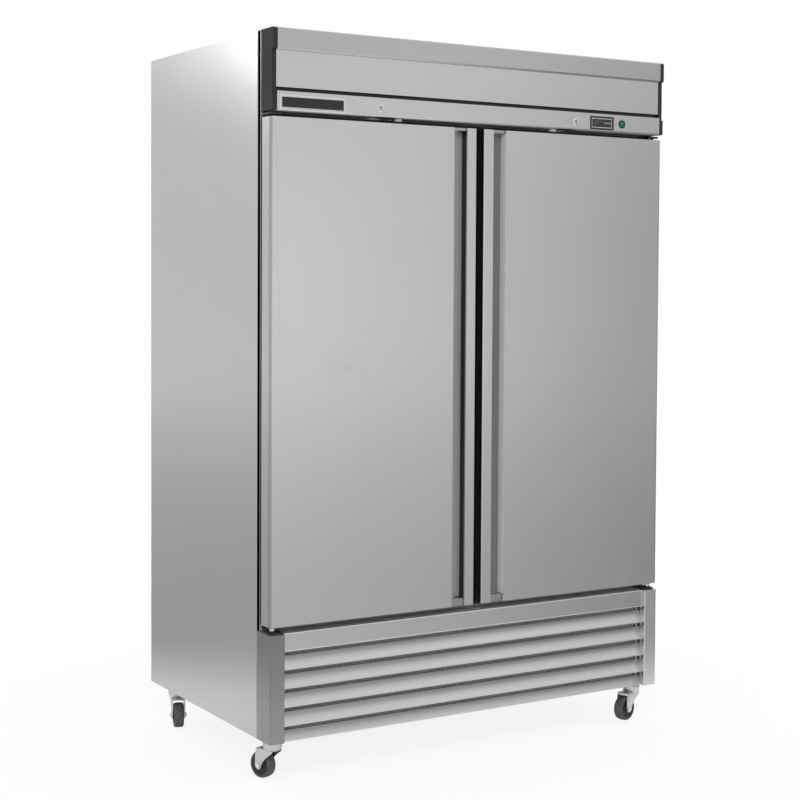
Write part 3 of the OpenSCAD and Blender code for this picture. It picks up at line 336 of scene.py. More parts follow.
grain, g_in, g_out = group("moulded_grain", [
    ("Tone", COLOUR, (0.03, 0.03, 0.03, 1)), ("Size", FLOAT, 900.0), ("Dull", FLOAT, 0.5),
    ("Contrast", FLOAT, 0.25)],
    [("Color", COLOUR), ("Roughness", FLOAT), ("Height", FLOAT)])
at = object_place(grain)
pores = noise(grain, at, g_in["Size"], 2)
patch = noise(grain, at, 14.0, 4, 0.6)
shade = times(grain, math_node(grain, "SUBTRACT", patch, 0.5), g_in["Contrast"])
link(grain, tinted(grain, g_in["Tone"], plus(grain, shade, 1.0)), g_out["Color"])
link(grain, plus(grain, g_in["Dull"], times(grain, shade, 0.5)),
    g_out["Roughness"])
link(grain, pores, g_out["Height"])
black_plastic = finish_of("moulded_black", grain, (0.022, 0.022, 0.024), 0.0, 0.25, 0.0003)
white_sheet = finish_of("coated_white", grain, (0.80, 0.81, 0.80), 0.0, 0.12, 0.0002, Size=1600.0,
    Dull=0.3, Contrast=0.05)
zinc = finish_of("bright_zinc", brush, (0.62, 0.62, 0.61), 1.0, 0.2, 0.0004, Stretch=(60, 60, 60),
    Dull=0.32, Contrast=0.25)
galvanised = finish_of("galvanised_sheet", brush, (0.52, 0.53, 0.54), 1.0, 0.25, 0.0006,
    Stretch=(40, 40, 40), Dull=0.42, Contrast=0.35)
foam_paint = finish_of("rigid_foam", grain, (0.80, 0.68, 0.40), 0.0, 0.5, 0.001, Size=350.0,
    Dull=0.85)
rubber_black = finish_of("soft_rubber", grain, (0.035, 0.035, 0.036), 0.0, 0.2, 0.0003, Dull=0.62)
black_paint = finish_of("black_enamel", grain, (0.02, 0.02, 0.021), 0.0, 0.2, 0.0004, Size=420.0,
    Dull=0.34)
aluminium = finish_of("fin_aluminium", brush, (0.72, 0.73, 0.74), 1.0, 0.2, 0.0003,
    Stretch=(30, 30, 300), Dull=0.35, Contrast=0.12)
copper = finish_of("drawn_copper", brush, (0.36, 0.17, 0.11), 1.0, 0.2, 0.0003,
    Stretch=(25, 25, 25), Dull=0.42, Contrast=0.45)
grey_paint = finish_of("grey_enamel", grain, (0.30, 0.31, 0.32), 0.0, 0.2, 0.0003, Size=420.0,
    Dull=0.4)
green_plastic = finish_of("green_switch", grain, (0.0, 0.16, 0.08), 0.0, 0.1, 0.0002, Dull=0.25)
key_plastic = finish_of("grey_keys", grain, (0.22, 0.23, 0.24), 0.0, 0.1, 0.0002, Dull=0.5)
fan_plastic = finish_of("fan_plastic", grain, (0.62, 0.63, 0.64), 0.0, 0.1, 0.0002, Dull=0.45,
    Contrast=0.1)

paint_node(foam_paint, "insulation_foam", "left_door_foam", "right_door_foam")
paint_node(white_sheet, "inner_liner")
paint_node(galvanised, "rear_panel", "base_frame", "rear_vent_cover", "evaporator_housing")

# ---- door gaskets -------------------------------------------------------------------
# Soft extruded strips with a magnet bulb and a folded bellows, welded at the corners.
# Each is pushed into the door's back sheet by its dart.


def finished(name, bm, paint, body, sharp=35.0):
    """A mesh in its own object, smooth but for its hard edges, riding on a body."""
    mesh = bpy.data.meshes.new(name)
    bm.to_mesh(mesh)
    bm.free()
    mesh.materials.clear()
    mesh.materials.append(paint)
    mesh.shade_smooth()
    mesh.set_sharp_from_angle(angle=math.radians(sharp))
    obj = bpy.data.objects.new(name, mesh)
    bpy.context.scene.collection.objects.link(obj)
    if body:
        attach(obj, body)
    return obj


def facing_out(bm):
    """Turns all faces outwards and returns the mesh."""
    bmesh.ops.recalc_face_normals(bm, faces=bm.faces)
    return bm


def bridge(bm, a, b):
    """Joins two rings of points by a band of faces."""
    for k in range(len(a)):
        m = (k + 1) % len(a)
        bm.faces.new((a[k], a[m], b[m], b[k]))


def prism(bm, outline, place, w0, w1):
    """An outline pulled from w0 to w1, with both ends closed."""
    ends = [[bm.verts.new(place(u, v, w)) for u, v in outline] for w in (w0, w1)]
    bridge(bm, *ends)
    for ring in ends:
        bm.faces.new(ring)


def block(bm, lo, hi, bevel=0.0, steps=2):
    """Adds a box between two corners, with rounded edges."""
    size = [b - a for a, b in zip(lo, hi)]
    made = bmesh.ops.create_cube(bm, size=1.0)["verts"]
    bmesh.ops.scale(bm, vec=size, verts=made)
    bmesh.ops.translate(bm, vec=[(a + b) / 2 for a, b in zip(lo, hi)], verts=made)
    if bevel:
        edges = list({e for v in made for e in v.link_edges})
        made = bmesh.ops.bevel(bm, geom=edges, offset=bevel, segments=steps, profile=0.5,
            affect="EDGES", clamp_overlap=True)["verts"]
    return made


def swept(bm, profile, path):
    """Sweeps a closed profile of (outward, along y) points round a closed flat path in X and Z."""
    rings = []
    n = len(path)
    path = [Vector(p) for p in path]
    for i, p in enumerate(path):
        a, b = (p - path[i - 1]).normalized(), (path[(i + 1) % n] - p).normalized()
        out = Vector((a.y + b.y, -a.x - b.x))
        out = out / (out.length_squared / 2)
        rings.append([bm.verts.new((p.x + out.x * u, v, p.y + out.y * u)) for u, v in profile])
    for i in range(n):
        bridge(bm, rings[i - 1], rings[i])
    facing_out(bm)


def folded(bm, path, thick, w0, w1, place, bend=0.0025, steps=4):
    """A sheet on the right of a path of square turns, with round bends, pulled from w0 to w1."""
    pts = [Vector(p) for p in path]
    line = [(pts[0], (pts[1] - pts[0]).normalized())]
    guard = 0.0015
    for a, b, c in zip(pts, pts[1:], pts[2:]):
        u, v = (b - a).normalized(), (c - b).normalized()
        centre = b - u * bend + v * bend
        line.append((b - u * (bend + guard), u))
        for k in range(steps + 1):
            t = math.pi / 2 * k / steps
            line.append((centre - v * bend * math.cos(t) + u * bend * math.sin(t),
                u * math.cos(t) + v * math.sin(t)))
        line.append((b + v * (bend + guard), v))
    line.append((pts[-1], line[-1][1]))
    ends = []
    for w in (w0, w1):
        outer = [bm.verts.new(place(p.x, p.y, w)) for p, t in line]
        inner = [bm.verts.new(place(p.x + t.y * thick, p.y - t.x * thick, w)) for p, t in line]
        ends.append((outer, inner))
    (oa, ia), (ob, ib) = ends
    for k in range(len(line) - 1):
        for quad in ((oa[k], oa[k + 1], ob[k + 1], ob[k]), (ia[k + 1], ia[k], ib[k], ib[k + 1]),
                (oa[k + 1], oa[k], ia[k], ia[k + 1]), (ob[k], ob[k + 1], ib[k + 1], ib[k])):
            bm.faces.new(quad)
    bm.faces.new((oa[0], ob[0], ib[0], ia[0]))
    bm.faces.new((ob[-1], oa[-1], ia[-1], ib[-1]))


def upright_fold(u, v, w):
    """A path in X and Y pulled upwards."""
    return (u, v, w)


def level_fold(u, v, w):
    """A path in Y and Z pulled along X."""
    return (w, u, v)


def corners_of(u0, v0, u1, v1):
    """The four corners of an upright rectangle, from the low left one up and round."""
    return [(u0, v0), (u0, v1), (u1, v1), (u1, v0)]


for side in ("left", "right"):
    lo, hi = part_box(side + "_door_gasket")
    gasket = bmesh.new()
    corners = corners_of(lo[0], lo[2], hi[0], hi[2])
    y, d = lo[1], hi[1] - lo[1]
    section = [(0, 0), (0, 0.35 * d), (-0.0016, 0.42 * d), (0, 0.5 * d), (-0.0004, 0.62 * d),
        (-0.0012, 0.9 * d),
        (-0.003, d), (-0.012, d), (-0.0145, 0.88 * d), (-0.0142, 0.62 * d), (-0.0118, 0.5 * d),
        (-0.0165, 0.4 * d), (-0.018, 0.22 * d), (-0.018, 0)]
    swept(gasket, [(u, y + v) for u, v in section], corners)
    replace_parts(finished(side + "_gasket_strip", gasket, rubber_black, side + "_door"),
        side + "_door_gasket")

# ---- door liners --------------------------------------------------------------------
# Formed white sheets behind the doors. The raised plug has soft corners where the sheet
# was drawn, and its edges stand clear of the opening.


def rounded(bm, corners, inset, r, place):
    """A ring of points round four corners of a rectangle, moved in by inset and rounded by r."""
    middle = [sum(c) / 4 for c in zip(*corners)]
    ring = []
    for (u, v), start in zip(corners, (-90, 180, 90, 0)):
        cu = u + (r + inset) * (1 if u < middle[0] else -1)
        cv = v + (r + inset) * (1 if v < middle[1] else -1)
        for s in range(7):
            a = math.radians(start - 15 * s)
            ring.append(bm.verts.new(place(cu + r * math.cos(a), cv + r * math.sin(a))))
    return ring


for side, sign in (("left", -1), ("right", 1)):
    lo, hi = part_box(side + "_door_liner")
    plug_out = 0.018
    liner = bmesh.new()
    block(liner, (lo[0], lo[1], lo[2]), (hi[0], hi[1] - plug_out, hi[2]), 0.0003, 1)
    x0, x1 = sorted((sign * 0.6052, sign * 0.052))
    plug = corners_of(x0, 0.5008, x1, 1.780)
    rings = [rounded(liner, plug, inset, max(0.022 - inset, 0.004), lambda u,
        v: (u, hi[1] - plug_out + out, v))
        for inset, out in ((0, 0), (0, 0.0126), (0.0018, 0.0164), (0.006, plug_out),
        (0.05, plug_out),
        (0.056, plug_out - 0.003), (0.07, plug_out - 0.003))]
    for a, b in zip(rings, rings[1:]):
        bridge(liner, a, b)
    liner.faces.new(rings[-1])
    facing_out(liner)
    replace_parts(finished(side + "_liner_pan", liner, white_sheet, side + "_door"),
        side + "_door_liner")

# ---- door skins and channel shade strips --------------------------------------------
# Brushed sheets, folded round the foam. The hand channels are pressed in beside the free
# edges; behind the front face the skin is darkened as painted shade. A black strip in the
# undercut of each lip is painted shade, and grey strips on the floor and far wall of each
# channel carry painted light and shade.
door_steel = finish_of("brushed_steel_doors", brush, (0.66, 0.665, 0.67), 1.0, Dull=0.2)
dt = door_steel.node_tree
depth_in = dt.nodes.new("ShaderNodeSeparateXYZ")
link(dt, object_place(dt), depth_in.inputs[0])
# Painted shade: the colour darkens just behind the front face, over the channel walls, the channel
# floor and the door's folded edges, and lightens a little deeper in.
recess_painted_shade = plus(dt, span(dt, depth_in.outputs["Y"], -0.4148, -0.4125, 1.0, 0.66),
    span(dt, depth_in.outputs["Y"], -0.405, -0.395, 0.0, 0.22))
brushed = next(n for n in dt.nodes if n.type == "GROUP").outputs["Color"]
link(dt, tinted(dt, brushed, recess_painted_shade), dt.nodes["Principled BSDF"].inputs["Base Color"])
paint_node(door_steel, "left_door_skin", "right_door_skin")
channel_y, lip_back, lip_x, under_x = -0.386, -0.408, 0.0465, 0.0305
pull_low, pull_top = 0.4664, 1.8366
# Painted light and shade: these strip tones are set to the light in each channel; the right floor
# is dark as shaded and the right far wall is light as lit.
pull_light_and_shade = {name: finish_of(name, grain, (tone, tone, tone), 0.3, 0.1, 0.0002, Size=900.0, Dull=0.42,
    Contrast=0.1) for name, tone in
    (("left_pull_floor", 0.40), ("right_pull_floor", 0.21), ("left_pull_wall", 0.40),
    ("right_pull_wall", 0.86))}
for side, sign in (("left", -1), ("right", 1)):
    # Painted shade: a black strip stands for the shade in each lip's undercut.
    undercut_shade = bmesh.new()
    path = [(lip_x - 0.0002, channel_y - 0.0002), (under_x + 0.0003, channel_y - 0.0002),
        (under_x + 0.0003, lip_back + 0.0002), (lip_x - 0.0006, lip_back + 0.0002)]
    folded(undercut_shade, [(sign * x, y) for x, y in path][::sign], 0.0012, pull_low, pull_top, upright_fold,
        0.003)
    facing_out(undercut_shade)
    finished(side + "_undercut_shade_strip", undercut_shade, rubber_black, side + "_door")
    for part, x0, x1, y0, y1 in (("floor", 0.0468, 0.0908, -0.3868, -0.3862),
        ("wall", 0.0909, 0.0914, -0.4146, -0.3870)):
        pull = bmesh.new()
        x0, x1 = sorted((sign * x0, sign * x1))
        block(pull, (x0, y0, pull_low), (x1, y1, pull_top), 0.0)
        finished(side + "_pull_" + part, pull, pull_light_and_shade[side + "_pull_" + part], side + "_door")

# ---- side sheets and gap shade strips -----------------------------------------------
# The side sheets have rolled edges and stop behind the door frame. Black strips in the joint
# in front of them and in the header's groove, and grey ones in the gaps round the doors, are
# painted shade where those gaps lie in shade. A lip carries the fascia's top edge up into
# the groove.
sheet_front, sheet_y1 = -0.331, 0.4244
# Black, the end caps' own colour; the same black is painted shade in the gap strips below.
end_cap_black_and_gap_shade = finish_of("end_cap_black_and_gap_shade", grain, (0.014, 0.014, 0.015), 0.0, 0.2, 0.0003, Size=500.0,
    Dull=0.55, Contrast=0.3)
paint_node(end_cap_black_and_gap_shade, "header_end_caps")
# Painted shade: the side sheets are the front's stainless in a darker tone.
side_steel_painted_shade = finish_of("brushed_steel_sides", brush, (0.585, 0.589, 0.595), 1.0, Dull=0.2)
for side, sign in (("left", -1), ("right", 1)):
    lo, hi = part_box(side + "_side_panel")
    out_x = -lo[0] if side == "left" else hi[0]
    thick = hi[0] - lo[0]
    side_sheet = bmesh.new()
    path = [(sign * (out_x - 0.012), sheet_front), (sign * out_x, sheet_front),
        (sign * out_x, sheet_y1)]
    folded(side_sheet, path if sign < 0 else path[::-1], thick, lo[2], hi[2], upright_fold, 0.0018)
    facing_out(side_sheet)
    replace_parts(finished(side + "_side_sheet", side_sheet, side_steel_painted_shade, "cabinet"),
        side + "_side_panel")
# Painted shade: black strips fill the joints beside the side sheets and the header's groove, and
# grey strips fill the gaps round the doors.
black_shade_strips, grey_shade_strips = bmesh.new(), bmesh.new()
joint_x, door_low, head_low, header_top, lip_top = 0.6852, 0.443, 1.846, 2.0852, 1.9146
for sign in (-1, 1):
    x0, x1 = sorted((sign * 0.6846, sign * joint_x))
    block(black_shade_strips, (x0, -0.3494, 0.423), (x1, sheet_front + 0.0002, header_top), 0.0002, 1)
block(grey_shade_strips, (-0.684, -0.3518, 0.4232), (0.684, -0.3508, door_low - 0.0006), 0.0003, 1)
block(grey_shade_strips, (-0.684, -0.3518, head_low + 0.001), (0.684, -0.3508, 1.8612), 0.0003, 1)
block(grey_shade_strips, (-0.6395, -0.3975, 0.4219), (0.6395, -0.3516, 0.4234), 0.0005, 1)
block(black_shade_strips, (-0.6705, -0.4060, lip_top + 0.0001), (0.6705, -0.3516, 1.9259), 0.0008, 1)
for x0, x1 in ((-0.6705, -0.3545), (-0.286, -0.284), (-0.262, 0.262), (0.284, 0.286),
    (0.3545, 0.6705)):
    block(grey_shade_strips, (x0, -0.4125, 1.8606), (x1, -0.3516, 1.8620), 0.0004, 1)
finished("joint_shade_strips", black_shade_strips, end_cap_black_and_gap_shade, "cabinet")
grey_gap_shade = finish_of("grey_gap_shade", grain, (0.44, 0.44, 0.44), 0.0, 0.2, 0.0003, Size=500.0,
    Dull=0.5, Contrast=0.3)
finished("grey_gap_shade_strips", grey_shade_strips, grey_gap_shade, "cabinet")
lip = bmesh.new()
block(lip, (-0.6719, -0.42208, 1.9036), (0.6719, -0.3975, lip_top), 0.0)
finished("fascia_top_lip", lip, level_steel, "cabinet")


# ---- header and controls ------------------------------------------------------------
# A bare dark plate with a bright rolled rim is glued at the left end of the fascia.


ALONG_X, ALONG_Y, UP, ORIGIN = (1, 0, 0), (0, 1, 0), (0, 0, 1), (0, 0, 0)


def circle(r, steps):
    """Points round a circle, as pairs."""
    return [(r * math.cos(math.tau * k / steps),
        r * math.sin(math.tau * k / steps)) for k in range(steps)]


def turned(bm, profile, place, axis, steps=48):
    """Turns a profile of (radius, along) round an axis through place."""
    spin = Vector(UP).rotation_difference(Vector(axis)).to_matrix()
    rings = []
    for r, h in profile:
        if r < 1e-7:
            rings.append([bm.verts.new(Vector(place) + spin @ Vector((0, 0, h)))])
            continue
        rings.append([bm.verts.new(Vector(place) + spin @ Vector((u, v, h))) for u,
            v in circle(r, steps)])
    for a, b in zip(rings, rings[1:]):
        for k in range(steps):
            m = (k + 1) % steps
            corners = [a[k % len(a)], a[m % len(a)], b[m % len(b)], b[k % len(b)]]
            distinct = list(dict.fromkeys(corners))
            if len(distinct) > 2:
                bm.faces.new(distinct)
    for ring, flip in ((rings[0], True), (rings[-1], False)):
        if len(ring) > 1 and profile[0] != profile[-1]:
            bm.faces.new(ring[::-1] if flip else ring)


def outward(bm):
    """Merges doubled points and turns all faces outwards."""
    bmesh.ops.remove_doubles(bm, verts=bm.verts, dist=1e-7)
    bmesh.ops.recalc_face_normals(bm, faces=bm.faces)
    return bm


lo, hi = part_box("nameplate")
plate_rim = bmesh.new()
edge = 0.0034
path = corners_of(lo[0], lo[2], hi[0], hi[2])
depth = hi[1] - lo[1]
swept(plate_rim, [(0, hi[1]), (0, hi[1] - 0.6 * depth), (-0.0006, lo[1]), (-edge + 0.0006, lo[1]),
    (-edge, hi[1] - 0.6 * depth), (-edge, hi[1])], path)
bright_rim = finish_of("bright_rim", brush, (0.85, 0.85, 0.86), 1.0, 0.1, 0.0002,
    Stretch=(200, 200, 200), Dull=0.12, Contrast=0.1)
finished("nameplate_rim", plate_rim, bright_rim, "cabinet")
face = bmesh.new()
block(face, (lo[0] + edge - 0.0002, lo[1] + 0.0008, lo[2] + edge - 0.0002),
    (hi[0] - edge + 0.0002, hi[1], hi[2] - edge + 0.0002), 0.0002, 1)
plate_dark = finish_of("plate_dark", grain, (0.018, 0.018, 0.02), 0.2, 0.15, 0.0002, Size=700.0,
    Dull=0.3)
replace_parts(finished("nameplate_face", face, plate_dark, "cabinet"), "nameplate")

# Key locks: a bright turned flange, and in it a barrel with a keyway that drives the cam
# behind the fascia.
lock_x, lock_z, lock_back = 0.345, 1.885, -0.398
for side, sign in (("left", -1), ("right", 1)):
    lo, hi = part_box(side + "_lock_barrel")
    at_lock = (sign * lock_x, 0, lock_z)
    flange_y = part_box("lock_housings")[0][1]
    ring = bmesh.new()
    turned(ring, [(0.0071, lock_back), (0.0096, lock_back), (0.0096, flange_y + 0.0024),
        (0.012, flange_y + 0.0024),
        (0.012, flange_y + 0.0012), (0.0112, flange_y + 0.0002), (0.0098, flange_y),
        (0.0082, flange_y),
        (0.0071, flange_y + 0.0009), (0.0071, lock_back)], at_lock, ALONG_Y, 56)
    housing = finished(side + "_lock_flange", outward(ring), bright_rim, "cabinet")
    if side == "right":
        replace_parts(housing, "lock_housings")
    barrel = bmesh.new()
    front = lo[1]
    turned(barrel, [(0, front + 0.0006), (0.0012, front + 0.0006), (0.0062, front),
        (0.0069, front + 0.0006),
        (0.0069, lock_back), (0.0055, lock_back), (0.0055, -0.3955), (0.0035, -0.3945),
        (0, -0.3945)],
        at_lock, ALONG_Y, 48)
    outward(barrel)
    cam0, cam1 = sorted((at_lock[0] + sign * 0.007, at_lock[0] - sign * 0.058))
    block(barrel, (cam0, lock_back, lock_z - 0.0045), (cam1, -0.395, lock_z + 0.0045), 0.0006, 2)
    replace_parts(finished(side + "_lock_core", barrel, zinc, side + "_lock"),
        side + "_lock_barrel")
    slot_shape = bmesh.new()
    block(slot_shape, (at_lock[0] - 0.0009, front - 0.00001, lock_z - 0.0038),
        (at_lock[0] + 0.0009, front + 0.001, lock_z + 0.0038),
        0.0004, 2)
    finished(side + "_lock_keyway", slot_shape, black_plastic, side + "_lock")

# Temperature controller: a moulded bezel with soft corners, a smoked window over the
# display and three keys with domed caps.
glass_dark = finish_of("smoked_window", grain, (0.012, 0.013, 0.015), 0.0, 0.02, 0.0001, Size=60.0,
    Dull=0.08, Contrast=0.1, Coat_Weight=1.0)
bezel = bmesh.new()
y0 = -0.424
cx, cz = 0.444, 1.8865
block(bezel, (cx - 0.0365, -0.4222, cz - 0.0115), (cx + 0.0365, -0.370, cz + 0.0115), 0.001, 2)
swept(bezel, [(0, -0.422), (0, -0.4232), (-0.0008, y0), (-0.0042, y0), (-0.0054, -0.4231),
    (-0.0054, -0.422)],
    corners_of(cx - 0.040, cz - 0.015, cx + 0.040, cz + 0.015))
block(bezel, (cx - 0.0348, -0.4236, cz - 0.0098), (cx + 0.0348, -0.4215, cz + 0.0098), 0.0003, 1)
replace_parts(finished("controller_bezel", bezel, black_plastic, "cabinet"),
    "controller")
window = bmesh.new()
block(window, (cx - 0.0335, -0.4239, cz - 0.0085), (cx - 0.001, -0.4230, cz + 0.0085), 0.0004, 2)
finished("controller_window", window, glass_dark, "cabinet")
for name in ("set", "up", "down"):
    cap = bmesh.new()
    block(cap, *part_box(name + "_button"), 0.0007, 3)
    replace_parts(finished(name + "_key_cap", cap, key_plastic, name + "_key"),
        name + "_button")

# Power switch: a round black bezel snapped into the fascia, with a rocker on a short axle
# whose ends are bevelled. The rocker leans to its on side.
ring = bmesh.new()
switch_x, switch_z, pivot_y = 0.522, 1.887, -0.421
at_switch = (switch_x, 0, switch_z)
turned(ring, [(0.0094, -0.419), (0.0094, -0.4236), (0.0102, -0.424), (0.0118, -0.424),
    (0.0128, -0.4233),
    (0.013, -0.422), (0.0107, -0.422), (0.0107, -0.393), (0.0085, -0.393), (0, -0.393)],
    at_switch, ALONG_Y, 64)
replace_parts(finished("switch_ring", outward(ring), black_plastic, "cabinet"),
    "switch_bezel")
rocker = bmesh.new()
turned(rocker, [(0, -0.0030), (0.004, -0.0030), (0.0072, -0.0028), (0.0084, -0.0022),
    (0.0088, -0.001),
    (0.0088, 0.0), (0, 0)], ORIGIN, ALONG_Y, 56)
turned(rocker, [(0, -0.0098), (0.0012, -0.0098), (0.0012, 0.0098), (0, 0.0098)], ORIGIN, ALONG_X,
    20)
outward(rocker)
bmesh.ops.transform(rocker, verts=rocker.verts,
    matrix=Matrix.Translation((switch_x, pivot_y, switch_z)) @ Matrix.Rotation(math.radians(6), 4,
    "X"))
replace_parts(finished("rocker_cap", rocker, green_plastic, "rocker"),
    "power_rocker")

# ---- casters ------------------------------------------------------------------------
# Light swivel casters: a bolted top plate with a pressed race, a pressed fork whose legs
# narrow to the axle, and a black wheel with a grey scuffed tread on a bolt and lock nut.


def placed(bm, matrix):
    """Moves a whole mesh by a matrix and returns it."""
    bmesh.ops.transform(bm, matrix=matrix, verts=bm.verts)
    return bm


tread_grey = finish_of("scuffed_tread", grain, (0.075, 0.075, 0.076), 0.0, 0.4, 0.0006, Size=500.0,
    Dull=0.6, Contrast=0.9)
wheel_black = finish_of("wheel_black", grain, (0.02, 0.02, 0.021), 0.0, 0.2, 0.0003, Size=800.0,
    Dull=0.42, Contrast=0.4)
turns = (109, 195, 252, 160)
swivels = ((-0.644, -0.347), (0.644, -0.347), (-0.644, 0.315), (0.644, 0.315))
axle_at = (0.036, 0, 0.038)
plates = bmesh.new()
plate_bolts = bmesh.new()
for x, y in swivels:
    one = bmesh.new()
    block(one, (-0.036, -0.036, 0.1142), (0.036, 0.036, 0.118), 0.0009, 2)
    turned(one, [(0, 0.1142), (0.0262, 0.1142), (0.0278, 0.1128), (0.0280, 0.1092),
        (0.0262, 0.1082), (0.0235, 0.1082),
        (0.0235, 0.1098), (0.006, 0.1098), (0.006, 0.0836), (0.0088, 0.0836), (0.0090, 0.0806),
        (0.0070, 0.0797),
        (0, 0.0797)], ORIGIN, UP, 56)
    outward(one)
    copy = bpy.data.meshes.new("one_plate")
    placed(one, Matrix.Translation((x, y, 0))).to_mesh(copy)
    one.free()
    plates.from_mesh(copy)
    for dx in (-0.027, 0.027):
        for dy in (-0.027, 0.027):
            turned(plate_bolts, [(0, 0.1100), (0.0042, 0.1100), (0.0055, 0.1108), (0.0055, 0.1136),
                (0.0082, 0.1137),
                (0.0082, 0.1143), (0, 0.1143)], (x + dx, y + dy, 0), UP, 6)
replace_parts(finished("caster_top_plates", plates, zinc, "cabinet"), "caster_plates")
finished("caster_plate_bolts", outward(plate_bolts), zinc, "cabinet", 20)

for i, ((x, y), turn) in enumerate(zip(swivels, turns), 1):
    frame_turn = Matrix.Translation((x, y, 0)) @ Matrix.Rotation(math.radians(turn), 4, "Z")
    fork = bmesh.new()
    turned(fork, [(0.0062, 0.0842), (0.0215, 0.0842), (0.0245, 0.0868), (0.0262, 0.0925),
        (0.0274, 0.0998),
        (0.0279, 0.1052), (0.0268, 0.1077), (0.0238, 0.1077), (0.0232, 0.1062), (0.0225, 0.0958),
        (0.0062, 0.0958),
        (0.0062, 0.0842)], ORIGIN, UP, 56)
    block(fork, (-0.0185, -0.0205, 0.0841), (0.044, 0.0205, 0.0872), 0.0012, 2)
    for s in (-1, 1):
        outline = [(-0.0175, 0.0862), (0.0435, 0.0862), (0.0462, 0.072), (0.0482, 0.055),
            (0.0484, 0.040),
            (0.0458, 0.0318), (0.041, 0.0272), (0.036, 0.0258), (0.031, 0.0272), (0.0262, 0.0318),
            (0.0232, 0.040), (0.0165, 0.052), (0.002, 0.066), (-0.012, 0.0765), (-0.0172, 0.082)]
        prism(fork, outline, lambda u, v, w: (u, w, v), s * 0.0176, s * 0.0205)
        crease = [(0.006, 0.0838), (0.0418, 0.0838), (0.0445, 0.055), (0.0435, 0.041),
            (0.036, 0.034), (0.0285, 0.041),
            (0.0225, 0.0545)]
        lip = [fork.verts.new((u, s * 0.0204, v)) for u, v in crease]
        low = [fork.verts.new((0.033 + (u - 0.033) * 0.82, s * 0.0214,
            0.060 + (v - 0.060) * 0.86)) for u, v in crease]
        fork.faces.new(low)
        bridge(fork, lip, low)
    outward(fork)
    body = finished("caster_%d_fork" % i, placed(fork, frame_turn), zinc, "fork_%d" % i)
    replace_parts(body, "caster_fork_%d" % i)
    axle = bmesh.new()
    turned(axle, [(0, -0.0268), (0.0022, -0.0268), (0.0034, -0.0262), (0.004, -0.0250),
        (0.004, 0.0256), (0.0034, 0.0264),
        (0, 0.0264)], axle_at, ALONG_Y, 24)
    for a, b in ((-0.0247, -0.0206), (0.0206, 0.0247)):
        turned(axle, [(0, a), (0.0068, a), (0.0078, a + 0.0007), (0.0078, b - 0.0007), (0.0068, b),
            (0, b)],
            axle_at, ALONG_Y, 6)
    finished("caster_%d_bolt" % i, placed(outward(axle), frame_turn), bright_rim, "fork_%d" % i,
        25)
    wheel = bmesh.new()
    turned(wheel, [(0.00415, -0.0170), (0.0095, -0.0170), (0.0115, -0.0160), (0.0125, -0.0112),
        (0.0150, -0.0092),
        (0.0215, -0.0092), (0.0245, -0.0115), (0.0268, -0.0148), (0.0290, -0.0150),
        (0.0300, -0.0140),
        (0.0300, 0.0140), (0.0290, 0.0150), (0.0268, 0.0148), (0.0245, 0.0115), (0.0215, 0.0092),
        (0.0150, 0.0092),
        (0.0125, 0.0112), (0.0115, 0.0160), (0.0095, 0.0170), (0.00415, 0.0170),
        (0.00415, -0.0170)],
        axle_at, ALONG_Y, 72)
    core = finished("caster_%d_core" % i, placed(outward(wheel), frame_turn), wheel_black,
        "wheel_%d" % i)
    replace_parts(core, "caster_wheel_%d" % i)
    tread = bmesh.new()
    turned(tread, [(0.0298, -0.0138), (0.0322, -0.0148), (0.0348, -0.0145), (0.0368, -0.0125),
        (0.0377, -0.0095),
        (0.0380, -0.005), (0.0380, 0.005), (0.0377, 0.0095), (0.0368, 0.0125), (0.0348, 0.0145),
        (0.0322, 0.0148),
        (0.0298, 0.0138), (0.0298, -0.0138)], axle_at, ALONG_Y, 96)
    finished("caster_%d_tread" % i, placed(outward(tread), frame_turn), tread_grey, "wheel_%d" % i)

# ---- shelves ------------------------------------------------------------------------
# Coated wire shelves: a round border wire, three cross wires under it and close-set ribs
# welded on top. Each ends in a lip wire at the front and back.


def rows_tree():
    """Geometry nodes that repeat a shape: Count along Step, and Rows along Row Step."""
    tree = bpy.data.node_groups.new("even_rows", "GeometryNodeTree")
    for label, kind, way in (("Geometry", "NodeSocketGeometry", "INPUT"),
        ("Count", "NodeSocketInt", "INPUT"),
            ("Step", VECTOR, "INPUT"), ("Rows", "NodeSocketInt", "INPUT"),
            ("Row Step", VECTOR, "INPUT"),
            ("Finish", "NodeSocketMaterial", "INPUT"), ("Geometry", "NodeSocketGeometry",
            "OUTPUT")):
        tree.interface.new_socket(label, in_out=way, socket_type=kind)
    source = tree.nodes.new("NodeGroupInput").outputs
    result = tree.nodes.new("NodeGroupOutput").inputs
    shape = source["Geometry"]
    for count, step in (("Count", "Step"), ("Rows", "Row Step")):
        places = tree.nodes.new("GeometryNodeMeshLine")
        link(tree, source[count], places.inputs["Count"])
        link(tree, source[step], places.inputs["Offset"])
        copies = tree.nodes.new("GeometryNodeInstanceOnPoints")
        link(tree, places.outputs["Mesh"], copies.inputs["Points"])
        link(tree, shape, copies.inputs["Instance"])
        shape = copies.outputs["Instances"]
    real = tree.nodes.new("GeometryNodeRealizeInstances")
    link(tree, shape, real.inputs[0])
    coat = tree.nodes.new("GeometryNodeSetMaterial")
    link(tree, real.outputs[0], coat.inputs["Geometry"])
    link(tree, source["Finish"], coat.inputs["Material"])
    link(tree, coat.outputs["Geometry"], result["Geometry"])
    return tree


